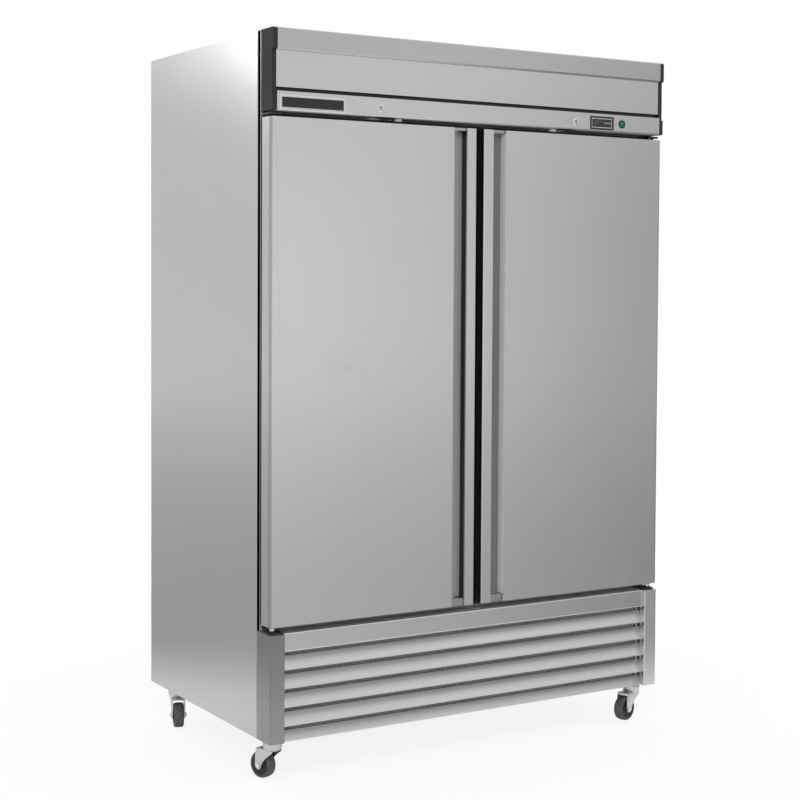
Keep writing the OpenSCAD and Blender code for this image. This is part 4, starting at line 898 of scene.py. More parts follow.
def in_rows(name, bm, paint, body, count, step, rows=1, row_step=(0, 0, 0), sharp=35.0):
    """Repeats a mesh in even rows with the node tree and keeps the result as a plain mesh."""
    obj = finished(name + "_one", bm, paint, None, sharp)
    change = obj.modifiers.new("rows", "NODES")
    change.node_group = even_rows
    values = {"Count": count, "Step": step, "Rows": rows, "Row Step": row_step, "Finish": paint}
    for item in even_rows.interface.items_tree:
        if item.in_out == "INPUT" and item.name in values:
            change[item.identifier] = values[item.name]
    mesh = bpy.data.meshes.new_from_object(obj.evaluated_get(bpy.context.evaluated_depsgraph_get()))
    mesh.name = name
    bpy.data.objects.remove(obj)
    mesh.set_sharp_from_angle(angle=math.radians(sharp))
    made = bpy.data.objects.new(name, mesh)
    bpy.context.scene.collection.objects.link(made)
    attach(made, body)
    return made


def wire(bm, a, b, r, sides=8):
    """A straight round wire from a to b with softly closed ends."""
    a, b = Vector(a), Vector(b)
    turned(bm, [(0, 0), (r * 0.8, 0), (r, r * 0.3), (r, (b - a).length - r * 0.3),
        (r * 0.8, (b - a).length),
        (0, (b - a).length)], a, (b - a).normalized(), sides)


even_rows = rows_tree()
shelf_coat = finish_of("epoxy_coat", grain, (0.74, 0.75, 0.74), 0.0, 0.12, 0.0003, Size=900.0,
    Dull=0.3, Contrast=0.08)
shelf_low, shelf_pitch = 0.760, 0.32
for side, x0, x1 in (("left", -0.6142, -0.006), ("right", 0.006, 0.6142)):
    lo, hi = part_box("wire_shelves")
    y0, y1 = lo[1], hi[1]
    border = bmesh.new()
    z = shelf_low + 0.003
    for y in (y0 + 0.003, (y0 + y1) / 2, y1 - 0.003):
        wire(border, (x0, y, z), (x1, y, z), 0.003, 12)
    for x in (x0 + 0.003, x1 - 0.003):
        wire(border, (x, y0, z), (x, y1, z), 0.003, 12)
    frame_piece = in_rows(side + "_shelf_borders", outward(border), shelf_coat, "cabinet",
        3, (0, 0, shelf_pitch))
    rib = bmesh.new()
    wire(rib, (x0 + 0.0015, y0, shelf_low + 0.0074), (x0 + 0.0015, y1, shelf_low + 0.0074), 0.0015,
        6)
    for y, s in ((y0 + 0.0012, 1), (y1 - 0.0012, -1)):
        wire(rib, (x0 + 0.0015, y, shelf_low + 0.0075), (x0 + 0.0015, y, shelf_low + 0.001), 0.0012,
            6)
    ribs = 46
    in_rows(side + "_shelf_ribs", outward(rib), shelf_coat, "cabinet", ribs,
        ((x1 - x0 - 0.003) / (ribs - 1), 0, 0), 3, (0, 0, shelf_pitch))
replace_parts(frame_piece, "wire_shelves")

# ---- shelf strips and clips ---------------------------------------------------------
# Zinc strips with a column of slots, screwed to the walls and the mullion. Clips hooked
# into them carry the shelf borders.
lo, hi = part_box("shelf_supports")
z0, z1 = lo[2], hi[2]
room_x, strip_d, strip_w = 0.6252, 0.008, 0.020
walls = [(x, y) for x in (-room_x, room_x - strip_d) for y in (-0.215, 0.2882)]
posts = [(x, y) for x in (-0.028, 0.004) for y in (-0.289, 0.3562)]
strips, marks = bmesh.new(), bmesh.new()
for x, y in walls:
    block(strips, (x, y - strip_w / 2, z0), (x + strip_d, y + strip_w / 2, z1), 0.0012, 2)
    face = x + strip_d if x < 0 else x
    block(marks, (face - 0.0003, y - 0.002, z0 + 0.02), (face + 0.0003, y + 0.002, z0 + 0.032), 0)
for x, y in posts:
    block(strips, (x, y, z0), (x + 0.024, y + strip_d, z1), 0.0012, 2)
    face = y + strip_d if y < 0 else y
    block(marks, (x + 0.010, face - 0.0003, z0 + 0.02), (x + 0.014, face + 0.0003, z0 + 0.032), 0)
strip_piece = finished("slotted_strips", strips, zinc, "cabinet")
in_rows("strip_slots", marks, black_plastic, "cabinet", 46, (0, 0, 0.0254))
clips = bmesh.new()
for x, y in walls:
    a, b = (x + strip_d, x + strip_d + 0.020) if x < 0 else (x - 0.020, x)
    block(clips, (a, y - 0.010, shelf_low - 0.0038), (b, y + 0.010, shelf_low), 0.0008, 2)
    hook = a if x < 0 else b - 0.002
    block(clips, (hook, y - 0.010, shelf_low - 0.014), (hook + 0.002, y + 0.010, shelf_low), 0.0006,
        1)
for x, y in posts:
    a, b = (y + strip_d, y + strip_d + 0.026) if y < 0 else (y - 0.028, y)
    block(clips, (x, a, shelf_low - 0.0038), (x + 0.022, b, shelf_low), 0.0008, 2)
    hook = a if y < 0 else b - 0.002
    block(clips, (x, hook, shelf_low - 0.014), (x + 0.022, hook + 0.002, shelf_low), 0.0006, 1)
in_rows("shelf_clips", clips, zinc, "cabinet", 3, (0, 0, shelf_pitch))
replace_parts(strip_piece, "shelf_supports")

# ---- lights and door sensors --------------------------------------------------------
# Long clear-capped lamps under the head of the opening, and small moulded sensors
# under the fascia.
lamp_glass = finish_of("lamp_diffuser", grain, (0.92, 0.93, 0.92), 0.0, 0.05, 0.0002, Size=300.0,
    Dull=0.22, Contrast=0.04, Coat_Weight=0.4)
lo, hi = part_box("interior_lights")
tubes, ends = bmesh.new(), bmesh.new()
for sign in (-1, 1):
    a, b = sorted((sign * 0.110, sign * -lo[0]))
    y, d, h = (lo[1] + hi[1]) / 2, hi[1] - lo[1], hi[2] - lo[2]
    dome = [(d / 2 * math.cos(t),
        -h * 0.92 * math.sin(t)) for t in [math.pi * k / 14 for k in range(15)]]
    prism(tubes, [(y + u, hi[2] + v - 0.0006) for u, v in dome], level_fold, a + 0.012, b - 0.012)
    for e in (a, b - 0.012):
        block(ends, (e, lo[1], lo[2]), (e + 0.012, hi[1], hi[2]), 0.0025, 3)
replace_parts(finished("strip_lamp_covers", outward(tubes), lamp_glass, "cabinet"),
    "interior_lights")
finished("strip_lamp_ends", ends, white_sheet, "cabinet")
lo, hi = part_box("door_switches")
sensor = bmesh.new()
for sign in (-1, 1):
    block(sensor, (sign * 0.273 - 0.010, lo[1], lo[2]), (sign * 0.273 + 0.010, hi[1], hi[2]),
        0.0018, 3)
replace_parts(finished("door_sensors", sensor, white_sheet, "cabinet"),
    "door_switches")

# ---- evaporator ---------------------------------------------------------------------
# A shallow zinc housing hangs from the ceiling. Air is drawn up through two guarded
# mouths by plastic fans on enamelled motors and passes a finned coil.


def fan(bm, r, hub_r, h, blades, lean, wrap, bore, place, axis):
    """A moulded axial fan: a domed hub and thin twisted blades with rounded tips."""
    spin = Vector(UP).rotation_difference(Vector(axis)).to_matrix().to_4x4()
    spin = Matrix.Translation(Vector(place)) @ spin
    turned(bm, [(bore, 0), (hub_r - 0.003, 0), (hub_r, 0.003), (hub_r, h - 0.006),
        (hub_r - 0.002, h - 0.002),
        (hub_r - 0.006, h), (bore, h), (bore, 0)], place, axis, 40)
    outward(bm)
    along, across_n = 8, 7
    for b in range(blades):
        base = math.tau * b / blades
        grid = []
        for i in range(along + 1):
            u = i / along
            radius = hub_r - 0.002 + (r - hub_r + 0.002) * u
            half = wrap * (0.75 + 0.35 * math.sin(math.pi * min(u * 0.8 + 0.1, 1))) / 2
            row = []
            for j in range(across_n + 1):
                v = j / across_n * 2 - 1
                tip = 1 - 0.25 * max(0, u - 0.8) / 0.2 * abs(v) ** 2
                angle = base + 0.28 * u + v * half * tip
                rise = h / 2 + v * lean / 2 * (1 - 0.35 * u) + 0.0025 * (1 - v * v)
                row.append((radius * math.cos(angle) * (1 - 0.05 * u * v * v),
                    radius * math.sin(angle)
                    * (1 - 0.05 * u * v * v), rise))
            grid.append(row)
        for side, t in ((1, 0.0008), (-1, -0.0008)):
            rows = [[bm.verts.new(spin @ Vector((x, y, z + t))) for x, y, z in row] for row in grid]
            for i in range(along):
                for j in range(across_n):
                    quad = (rows[i][j], rows[i][j + 1], rows[i + 1][j + 1], rows[i + 1][j])
                    bm.faces.new(quad if side > 0 else quad[::-1])
            if side > 0:
                top = rows
        edges = [g[0] + [row[-1] for row in g[1:]] + g[-1][-2::-1] + [row[0] for row in g[-2:0:-1]]
            for g in (top, rows)]
        bridge(bm, *edges)
    facing_out(bm)


fan_x, fan_y = 0.210, -0.119
lo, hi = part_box("evaporator_housing")
for side, sign in (("left", -1), ("right", 1)):
    blades = bmesh.new()
    fan(blades, 0.088, 0.024, 0.030, 5, 0.020, 1.0, 0.00405, (sign * fan_x, fan_y, lo[2] + 0.008),
        UP)
    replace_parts(finished("evaporator_%s_blades" % side, blades, fan_plastic,
        side + "_evaporator_fan", 50),
        "evaporator_fan_" + side)
motors = bmesh.new()
for sign in (-1, 1):
    base = (sign * fan_x, fan_y, lo[2] + 0.008)
    turned(motors, [(0, 0.002), (0.004, 0.002), (0.004, 0.034), (0.012, 0.034), (0.013, 0.036),
        (0.030, 0.037),
        (0.035, 0.041), (0.036, 0.046), (0.036, 0.070), (0.035, 0.076), (0.031, 0.080), (0, 0.080)],
        base, UP, 48)
    outward(motors)
    block(motors, (base[0] - 0.018, base[1] - 0.018, base[2] + 0.0795),
        (base[0] + 0.018, base[1] + 0.018, hi[2]), 0.002, 2)
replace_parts(finished("evaporator_fan_motors", motors, black_paint, "cabinet"),
    "evaporator_motors")

guards = bmesh.new()
for sign in (-1, 1):
    at_x, at_y, at_z = sign * fan_x, fan_y, lo[2] - 0.0012
    for r in (0.022, 0.036, 0.050, 0.064, 0.078, 0.092, 0.103):
        rings = [[guards.verts.new((at_x + (r + u) * c, at_y + (r + u) * s, at_z + v))
            for u, v in circle(0.0011, 8)] for c, s in circle(1, 72)]
        for k in range(len(rings)):
            bridge(guards, rings[k - 1], rings[k])
    for k in range(4):
        c, s = math.cos(math.radians(45 + 90 * k)), math.sin(math.radians(45 + 90 * k))
        wire(guards, (at_x + 0.016 * c, at_y + 0.016 * s, at_z - 0.0018),
            (at_x + 0.112 * c, at_y + 0.112 * s,
            at_z - 0.0018), 0.0014, 8)
finished("fan_guards", outward(guards), zinc, "cabinet")

lo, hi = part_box("evaporator_coil")
fin = bmesh.new()
block(fin, (-0.400, lo[1], lo[2]), (-0.3996, hi[1], hi[2] - 0.0002), 0)
in_rows("evaporator_fins", fin, aluminium, "cabinet", 134, (0.006, 0, 0))
tubes = bmesh.new()
rise = (hi[2] - lo[2]) / 6
mid_y = (lo[1] + hi[1]) / 2
for j in range(1, 6):
    wire(tubes, (-0.410, mid_y, lo[2] + j * rise), (0.410, mid_y, lo[2] + j * rise), 0.005, 14)


def u_bend(bm, x, y, z, rise, out, r):
    """A round return bend between two tube ends, one above the other."""
    steps = 12
    rings = []
    for k in range(steps + 1):
        t = math.pi * k / steps - math.pi / 2
        centre = Vector((x + out * math.cos(t), y, z + rise / 2 + rise / 2 * math.sin(t)))
        spoke = Vector((math.cos(t) * (1 if out > 0 else -1), 0, math.sin(t)))
        rings.append([bm.verts.new(centre + spoke * u + Vector(ALONG_Y) * v) for u,
            v in circle(r, 10)])
    for a, b in zip(rings, rings[1:]):
        bridge(bm, a, b)
    bm.faces.new(rings[0])
    bm.faces.new(rings[-1])


for j in range(1, 5):
    x = -0.4055 if j % 2 else 0.4055
    u_bend(tubes, x, mid_y, lo[2] + j * rise, rise, math.copysign(0.008, x), 0.0048)
tube_piece = finished("evaporator_tubes", outward(tubes), copper, "cabinet")
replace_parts(tube_piece, "evaporator_coil")

# ---- grille -------------------------------------------------------------------------
# Folded posts at the front corners of the base carry a level rail and five louvres. Each
# louvre is rolled so that its foot curves out to a lip over the next slot.
door_face, post_x, post_out, post_back = -0.415, 0.640, 0.686, -0.3335
base_low, base_top, rail_low, grille_in, metal = 0.118, 0.422, 0.370, 0.012, 0.0012
# Painted light and shade: both posts are the same stainless, the left toned dark as shaded and the
# right toned light as lit.
for side, sign, tone in (("left", -1, 0.30), ("right", 1, 0.74)):
    post_steel_painted_light = finish_of("brushed_steel_%s_post" % side, brush,
        (tone, tone + 0.004, tone + 0.008), 1.0, Dull=0.22)
    posts = bmesh.new()
    path = [(sign * post_x, door_face + 0.024), (sign * post_x, door_face),
        (sign * post_out, door_face),
        (sign * post_out, post_back)]
    folded(posts, path if sign < 0 else path[::-1], metal, base_low, base_top - metal, upright_fold)
    x0, x1 = sorted((sign * post_x, sign * post_out))
    block(posts, (x0, door_face, base_top - metal), (x1, post_back, base_top), 0.0005, 2)
    facing_out(posts)
    one_post = finished(side + "_base_post", posts, post_steel_painted_light, "cabinet")
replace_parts(one_post, "grille_frame")
rail = bmesh.new()
rail_y = door_face + grille_in
folded(rail, [(rail_y + 0.012, rail_low), (rail_y, rail_low), (rail_y, base_top),
    (post_back - 0.001, base_top)][::-1],
    metal, -post_x + 0.0002, post_x - 0.0002, level_fold)
facing_out(rail)
finished("base_rail", rail, level_steel, "cabinet")

louvre_step, louvre_deep, open_slot = 0.0525, 0.014, 0.0135
louvre_steel = finish_of("brushed_steel_louvres", brush, (0.66, 0.665, 0.67), 1.0,
    Stretch=(9, 700, 700), Dull=0.24)
lt = louvre_steel.node_tree
height = lt.nodes.new("ShaderNodeSeparateXYZ")
link(lt, object_place(lt), height.inputs[0])
# Painted shade: each louvre is darker towards its top, under the slot above, and reaches full tone
# towards its foot.
step_at = math_node(lt, "FRACT", math_node(lt, "DIVIDE",
    math_node(lt, "SUBTRACT", rail_low, height.outputs["Z"]), louvre_step))
slot_painted_shade = span(lt, step_at, 0.22, 0.82, 0.42, 1.0)
brushed = next(n for n in lt.nodes if n.type == "GROUP").outputs["Color"]
link(lt, tinted(lt, brushed, slot_painted_shade), lt.nodes["Principled BSDF"].inputs["Base Color"])


def louvre(z_top, z_foot):
    """One louvre from its top edge to its foot."""
    bm = bmesh.new()
    curve = [(rail_y + louvre_deep * (1 - t ** 2.0), z_top + (z_foot + 0.004 - z_top) * t) for t in
        [k / 14 for k in range(15)]]
    front = curve + [(rail_y - 0.0002, z_foot + 0.0025), (rail_y, z_foot + 0.0008),
        (rail_y + 0.001, z_foot),
        (rail_y + 0.007, z_foot)]
    back = [(y + metal, z) for y, z in curve[:-1]] + [(rail_y + metal, z_foot + 0.0025),
        (rail_y + metal + 0.0004, z_foot + metal), (rail_y + 0.007, z_foot + metal)]
    outline = front + back[::-1]
    prism(bm, outline, level_fold, -post_x + 0.0003, post_x - 0.0003)
    return outward(bm)


louvres = in_rows("base_louvres", louvre(rail_low - open_slot, rail_low - louvre_step),
    louvre_steel, "cabinet",
    4, (0, 0, -louvre_step), sharp=40)
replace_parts(louvres, "grille_louvres")
finished("base_low_louvre", louvre(rail_low - 4 * louvre_step - open_slot, base_low), louvre_steel,
    "cabinet", 40)

# ---- condensing unit ----------------------------------------------------------------
# A welded compressor on rubber feet, a finned condenser behind the louvres with its fan
# and shroud, a tray for defrost water and a painted terminal box, all on the base pan.
comp_x, comp_y, pan_top = -0.350, 0.145, 0.1196
shell = bmesh.new()
z = pan_top + 0.016
turned(shell, [(0, z), (0.060, z), (0.071, z + 0.004), (0.0765, z + 0.012), (0.078, z + 0.024),
    (0.078, z + 0.080),
    (0.0768, z + 0.083), (0.0768, z + 0.087), (0.078, z + 0.090), (0.078, z + 0.118),
    (0.0755, z + 0.133),
    (0.068, z + 0.149), (0.055, z + 0.161), (0.036, z + 0.168), (0.014, z + 0.170), (0, z + 0.170)],
    (comp_x, comp_y, 0), UP, 72)
outward(shell)
block(shell, (comp_x - 0.106, comp_y - 0.082, pan_top + 0.012),
    (comp_x + 0.106, comp_y + 0.082, pan_top + 0.016), 0.0015, 2)
for y in (-0.03, 0.03):
    turned(shell, [(0.0046, z + 0.16), (0.011, z + 0.16), (0.011, z + 0.166), (0.0066, z + 0.1745),
        (0.0046, z + 0.1745),
        (0.0046, z + 0.16)], (comp_x, comp_y + y, 0), UP, 24)
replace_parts(finished("compressor_shell", shell, black_paint, "cabinet"),
    "compressor")
cover = bmesh.new()
block(cover, (comp_x + 0.0655, comp_y - 0.024, pan_top + 0.052),
    (comp_x + 0.102, comp_y + 0.024, pan_top + 0.108), 0.004, 3)
finished("terminal_cover", cover, black_plastic, "cabinet")
feet = bmesh.new()
turned(feet, [(0, 0), (0.0105, 0), (0.011, 0.001), (0.0095, 0.004), (0.0085, 0.006),
    (0.0095, 0.008), (0.011, 0.011),
    (0.0105, 0.012), (0, 0.012)], (comp_x - 0.093, comp_y - 0.070, pan_top), UP, 28)
turned(feet, [(0, 0.0155), (0.0065, 0.0155), (0.0065, 0.0195), (0, 0.0195)],
    (comp_x - 0.093, comp_y - 0.070, pan_top),
    UP, 6)
in_rows("compressor_feet", outward(feet), rubber_black, "cabinet", 2, (0.186, 0, 0),
    2, (0, 0.140, 0))

lo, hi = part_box("condenser_coil")
fin = bmesh.new()
block(fin, (-0.200, lo[1], lo[2] + 0.0002), (-0.1996, hi[1], hi[2]), 0)
in_rows("condenser_fins", fin, aluminium, "cabinet", 90, (0.399601 / 89, 0, 0))
tubes = bmesh.new()
rise = (hi[2] - lo[2]) / 6
mid_y = (lo[1] + hi[1]) / 2
for j in range(1, 6):
    wire(tubes, (-0.210, mid_y, lo[2] + j * rise), (0.210, mid_y, lo[2] + j * rise), 0.005, 14)
for j in range(1, 5):
    x = -0.2045 if j % 2 else 0.2045
    u_bend(tubes, x, mid_y, lo[2] + j * rise, rise, math.copysign(0.009, x), 0.0048)
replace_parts(finished("condenser_tubes", outward(tubes), black_paint, "cabinet"),
    "condenser_coil")

# A pleated dust filter stands behind the louvres, clipped in a thin frame.
filter_grey = finish_of("filter_felt", grain, (0.24, 0.24, 0.235), 0.0, 0.5, 0.0006, Size=260.0,
    Dull=0.8, Contrast=0.5)
pleats = bmesh.new()
filter_x, filter_y, filter_low, filter_top, pleat = 0.626, -0.3862, 0.1210, 0.3660, 0.010
count = round(2 * filter_x / pleat)
zigzag = [(-filter_x + pleat * k / 2,
    filter_y + (0.0006 if k % 2 else 0.0034)) for k in range(2 * count + 1)]
low, top, top_back, low_back = ([pleats.verts.new((x, y + out, z)) for x, y in zigzag]
    for out, z in ((0, filter_low), (0, filter_top), (0.0008, filter_top), (0.0008, filter_low)))
for k in range(2 * count):
    for a, b in ((low, top), (top, top_back), (top_back, low_back), (low_back, low)):
        pleats.faces.new((a[k], a[k + 1], b[k + 1], b[k]))
facing_out(pleats)
finished("dust_filter", pleats, filter_grey, "cabinet", 10)
edging = bmesh.new()
swept(edging, [(0, filter_y + 0.0046), (0, filter_y), (-0.006, filter_y),
    (-0.006, filter_y + 0.0046)],
    corners_of(-filter_x - 0.001, filter_low - 0.001, filter_x + 0.001, filter_top + 0.001))
finished("filter_frame", edging, galvanised, "cabinet")

fan_z = 0.2546
blades = bmesh.new()
fan(blades, 0.112, 0.030, 0.034, 5, 0.024, 0.95, 0.00505, (0, -0.245, fan_z), (0, -1, 0))
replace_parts(finished("condenser_fan_blades", blades, aluminium, "rear_condenser_fan",
    50), "condenser_fan")
lo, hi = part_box("condenser_fan_motor")
shroud = bmesh.new()
face_y = -0.291
steps, half_w, half_h = 96, 0.206, 0.135
turn = circle(1, steps)
rims = []
for y in (face_y, face_y + 0.0018):
    rim, hole = [], []
    for c, s in turn:
        out = min(half_w / max(abs(c), 1e-6), half_h / max(abs(s), 1e-6))
        rim.append(shroud.verts.new((out * c, y, fan_z + out * s)))
        hole.append(shroud.verts.new((0.125 * c, y, fan_z + 0.125 * s)))
    bridge(shroud, rim, hole)
    rims.append((rim, hole))
bridge(shroud, rims[0][0], rims[1][0])
neck, inner_neck = ([shroud.verts.new((x, face_y + 0.022, fan_z + z)) for x, z in circle(r, steps)]
    for r in (0.1235, 0.1223))
for a, b in ((rims[1][1], neck), (neck, inner_neck), (inner_neck, rims[0][1])):
    bridge(shroud, a, b)
facing_out(shroud)
finished("condenser_shroud", shroud, black_paint, "cabinet")
motor = bmesh.new()
turned(motor, [(0, face_y + 0.016), (0.005, face_y + 0.016), (0.005, face_y + 0.058),
    (0.014, face_y + 0.058),
    (0.016, face_y + 0.061), (0.036, face_y + 0.062), (0.041, face_y + 0.067),
    (0.042, face_y + 0.074),
    (0.042, face_y + 0.116), (0.040, face_y + 0.123), (0.034, face_y + 0.128), (0, face_y + 0.128)],
    (0, 0, fan_z), ALONG_Y, 56)
outward(motor)
for y0, y1, z0, z1 in ((0.070, 0.073, pan_top, fan_z - 0.038),
    (0.113, 0.116, pan_top, fan_z - 0.038),
        (0.070, 0.116, fan_z - 0.0425, fan_z - 0.0385), (0.064, 0.122, pan_top, pan_top + 0.003)):
    block(motor, (-0.022, face_y + y0, z0), (0.022, face_y + y1, z1), 0.0008, 1)
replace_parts(finished("condenser_motor", motor, black_paint, "cabinet"),
    "condenser_fan_motor")

# Defrost tray: one moulded piece with a rolled rim and rounded corners.
lo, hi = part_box("condensate_pan")
tray = bmesh.new()
rings = [rounded(tray, corners_of(lo[0], lo[1], hi[0], hi[1]), inset, max(0.016 - inset, 0.003),
    lambda u, v: (u, v, z))
    for inset, z in ((0.006, lo[2]), (0.001, lo[2] + 0.005), (0.0, hi[2] - 0.004), (0.0, hi[2]),
    (0.0022, hi[2]),
    (0.0026, lo[2] + 0.006), (0.008, lo[2] + 0.002))]
for a, b in zip(rings, rings[1:]):
    bridge(tray, a, b)
tray.faces.new(rings[0][::-1])
tray.faces.new(rings[-1])
facing_out(tray)
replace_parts(finished("defrost_tray", tray, black_plastic, "cabinet"),
    "condensate_pan")

# ---- refrigerant lines --------------------------------------------------------------
# Copper tubes bent on a former, with even bends. The wide one is the suction line; the
# narrow ones carry hot gas and liquid.


def bent_tube(bm, points, r, bend, sides=12):
    """A round tube along straight runs joined by round bends."""
    pts = [Vector(p) for p in points]
    line = [pts[0]]
    for a, b, c in zip(pts, pts[1:], pts[2:]):
        u, v = (b - a).normalized(), (c - b).normalized()
        reach = min(bend, (b - a).length * 0.48, (c - b).length * 0.48)
        centre = b - u * reach + v * reach
        for k in range(7):
            t = math.pi / 2 * k / 6
            line.append(centre - v * reach * math.cos(t) + u * reach * math.sin(t))
    line.append(pts[-1])
    side = (line[1] - line[0]).orthogonal().normalized()
    rings = []
    for i, p in enumerate(line):
        along = (line[min(i + 1, len(line) - 1)] - line[max(i - 1, 0)]).normalized()
        side = (side - along * side.dot(along)).normalized()
        other = along.cross(side)
        rings.append([bm.verts.new(p + side * a + other * b) for a, b in circle(r, sides)])
    for a, b in zip(rings, rings[1:]):
        bridge(bm, a, b)
    bm.faces.new(rings[0][::-1])
    bm.faces.new(rings[-1])
    facing_out(bm)


comp_top, cond_y, cond_base, cond_rise = 0.3056, -0.333, 0.1196, 0.045
coil_low, coil_step = 1.8307, (2.0152 - 1.8307) / 6
coil_at, line_at, riser_y, behind = 0.061, 1.9652, 0.391, 0.141
lines = bmesh.new()
bent_tube(lines, [(comp_x, comp_y - 0.03, comp_top - 0.004),
    (comp_x, comp_y - 0.03, comp_top + 0.024),
    (comp_x, cond_y, comp_top + 0.024), (comp_x, cond_y, cond_base + 5 * cond_rise),
    (-0.209, cond_y, cond_base + 5 * cond_rise)], 0.0045, 0.022)
bent_tube(lines, [(0.209, cond_y, cond_base + cond_rise), (0.256, cond_y, cond_base + cond_rise),
    (0.256, 0.085, cond_base + cond_rise), (0.256, 0.085, comp_top + 0.012),
    (0.130, 0.085, comp_top + 0.012),
    (0.130, riser_y, comp_top + 0.012), (0.130, riser_y, line_at), (0.130, behind, line_at),
    (0.4215, behind, line_at), (0.4215, coil_at, line_at), (0.4215, coil_at, coil_low + coil_step),
    (0.409, coil_at, coil_low + coil_step)], 0.0045, 0.020)
wide = bmesh.new()
bent_tube(wide, [(comp_x, comp_y + 0.03, comp_top - 0.004),
    (comp_x, comp_y + 0.03, comp_top + 0.040),
    (0.090, comp_y + 0.03, comp_top + 0.040), (0.090, riser_y, comp_top + 0.040),
    (0.090, riser_y, line_at),
    (0.090, behind, line_at), (-0.4215, behind, line_at), (-0.4215, coil_at, line_at),
    (-0.4215, coil_at, coil_low + 5 * coil_step), (-0.409, coil_at, coil_low + 5 * coil_step)],
    0.006, 0.026)
narrow_piece = finished("narrow_lines", lines, copper, "cabinet")
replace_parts(narrow_piece, "refrigerant_lines")
finished("suction_line", wide, copper, "cabinet")

# ---- terminal box and lead inlet ----------------------------------------------------
# A folded painted box with a screwed lid on the pan; at the back, a ribbed gland that
# the mains lead would leave by.
terminal = bmesh.new()
box_lo, box_hi = (0.450, -0.235, pan_top), (0.580, -0.055, pan_top + 0.120)
block(terminal, box_lo, box_hi, 0.0018, 2)
block(terminal, (box_lo[0] - 0.0012, box_lo[1] - 0.0012, box_hi[2] - 0.016),
    (box_hi[0] + 0.0012, box_hi[1] + 0.0012,
    box_hi[2] + 0.0008), 0.0012, 2)
box_piece = finished("terminal_box", terminal, grey_paint, "cabinet")
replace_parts(box_piece, "electrical_box")
gland = bmesh.new()
inlet = (0.520, 0, 0.188)
cover_y = 0.411
turned(gland, [(0, cover_y - 0.014), (0.0085, cover_y - 0.014), (0.0098, cover_y - 0.011),
    (0.0098, cover_y + 0.0008),
    (0.014, cover_y + 0.0009), (0.014, cover_y + 0.0036), (0.0125, cover_y + 0.0044),
    (0.0095, cover_y + 0.0046),
    (0.0088, cover_y + 0.0060), (0.0095, cover_y + 0.0072), (0.0084, cover_y + 0.0086),
    (0.0090, cover_y + 0.0098),
    (0.0078, cover_y + 0.0112), (0.0055, cover_y + 0.0119), (0.0046, cover_y + 0.0112),
    (0.0046, cover_y + 0.002),
    (0, cover_y + 0.002)], inlet, ALONG_Y, 48)
finished("lead_gland", outward(gland), rubber_black, "cabinet")

# ---- back screws and rear cover -----------------------------------------------------
# Pan-head screws with a cross recess hold the back sheets. The cover over the base has
# pressed hoods over its slits.


def pan_screw(bm, place, r, out):
    """A pan-head screw that stands out along an axis, with a dished cross recess."""
    spin = Vector(UP).rotation_difference(Vector(out)).to_matrix()
    place = Vector(place)
    turned(bm, [(0, 0), (r, 0), (r, 0.0006), (r * 0.86, 0.0015), (r * 0.55, 0.0019),
        (r * 0.52, 0.0015)], place, out, 24)
    ring = [bm.verts.new(place + spin @ Vector((u, v, 0.0015))) for u, v in circle(r * 0.52, 24)]
    cross = []
    for c, s in circle(1, 24):
        arm = abs(c * c - s * s) ** 6
        d = r * (0.14 + 0.32 * arm)
        cross.append(bm.verts.new(place + spin @ Vector((d * c, d * s, 0.0008 + 0.0002 * arm))))
    bridge(bm, ring, cross)
    bm.faces.new(cross)


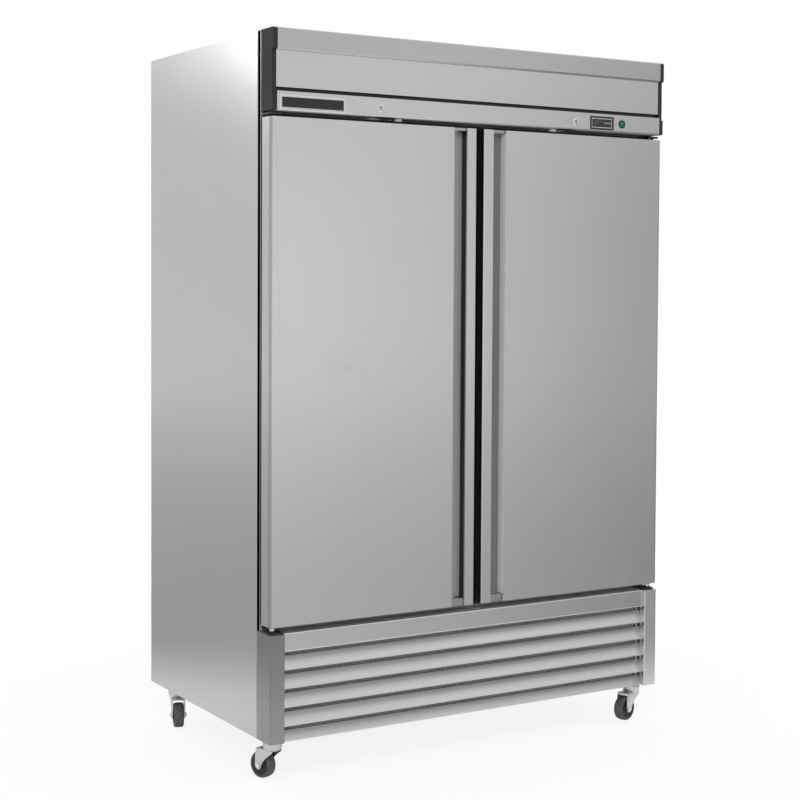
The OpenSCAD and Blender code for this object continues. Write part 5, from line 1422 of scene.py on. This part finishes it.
screw_x, screw_y = 0.6712, 0.423
screw = bmesh.new()
pan_screw(screw, (-screw_x, screw_y, 0.464), 0.004, ALONG_Y)
back_screws = in_rows("back_screws", outward(screw), zinc, "cabinet", 7,
    (0, 0, (2.086 - 0.424 - 0.080) / 6), 2,
    (2 * screw_x, 0, 0))
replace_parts(back_screws, "panel_screws")
screw = bmesh.new()
pan_screw(screw, (-screw_x, cover_y + 0.0008, 0.1396), 0.004, ALONG_Y)
in_rows("cover_screws", outward(screw), zinc, "cabinet", 2, (0, 0, 0.404 - 0.1396), 5,
    (2 * screw_x / 4, 0, 0))
hood = bmesh.new()
section = [(0.0, 0.0088), (0.0045, 0.0072), (0.0062, 0.0035), (0.0062, -0.0005), (0.0054, -0.0005),
    (0.0054, 0.0033),
    (0.0040, 0.0063), (0.0, 0.0078)]
prism(hood, [(cover_y + 0.0008 + u, pan_top + 0.0462 + v) for u, v in section], level_fold, -0.500,
    -0.240)
in_rows("cover_hoods", outward(hood), galvanised, "cabinet", 9, (0, 0, 0.024), 3,
    (0.330, 0, 0))

# ---- hinge brackets -----------------------------------------------------------------
# Black corner plates with rounded ends. Each holds a pin, and under the door a bright
# bush turns between two black washers.
pin_x, pin_y = 0.668, -0.391
brackets, collars, washers = bmesh.new(), bmesh.new(), bmesh.new()
for sign in (-1, 1):
    for z0, z1 in ((0.422, 0.427), (1.852, 1.857)):
        x0, x1 = sorted((sign * 0.684, sign * 0.642))
        outline = []
        for k, (cx, cy) in enumerate(((x0 + 0.010, -0.399), (x1 - 0.010, -0.399),
            (x1 - 0.002, -0.353), (x0 + 0.002, -0.353))):
            r = 0.010 if k < 2 else 0.002
            for s in range(7):
                t = math.radians((180, 270, 0, 90)[k] + 15 * s)
                outline.append((cx + r * math.cos(t), cy + r * math.sin(t)))
        prism(brackets, outline, upright_fold, z0, z1)
    pin_at = (sign * pin_x, pin_y, 0)
    turned(brackets, [(0, 0.4265), (0.005, 0.4265), (0.005, 0.4642), (0.0042, 0.465), (0, 0.465)],
        pin_at, UP, 32)
    turned(brackets, [(0, 1.824), (0.0042, 1.824), (0.005, 1.8248), (0.005, 1.8525), (0, 1.8525)],
        pin_at, UP, 32)
    turned(collars, [(0.0052, 0.4305), (0.0074, 0.4305), (0.0078, 0.4310), (0.0078, 0.4385),
        (0.0074, 0.4390),
        (0.0052, 0.4390), (0.0052, 0.4305)], pin_at, UP, 40)
    for z0, z1 in ((0.4270, 0.4304), (0.4391, 0.4427)):
        turned(washers, [(0.0052, z0), (0.0112, z0), (0.0118, z0 + 0.0006), (0.0118, z1 - 0.0006),
            (0.0112, z1),
            (0.0052, z1), (0.0052, z0)], pin_at, UP, 40)
outward(brackets)
bracket_piece = finished("hinge_plates", brackets, black_paint, "cabinet")
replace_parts(bracket_piece, "hinge_brackets")
finished("hinge_collars", outward(collars), bright_rim, "cabinet")
finished("hinge_washers", outward(washers), black_plastic, "cabinet")
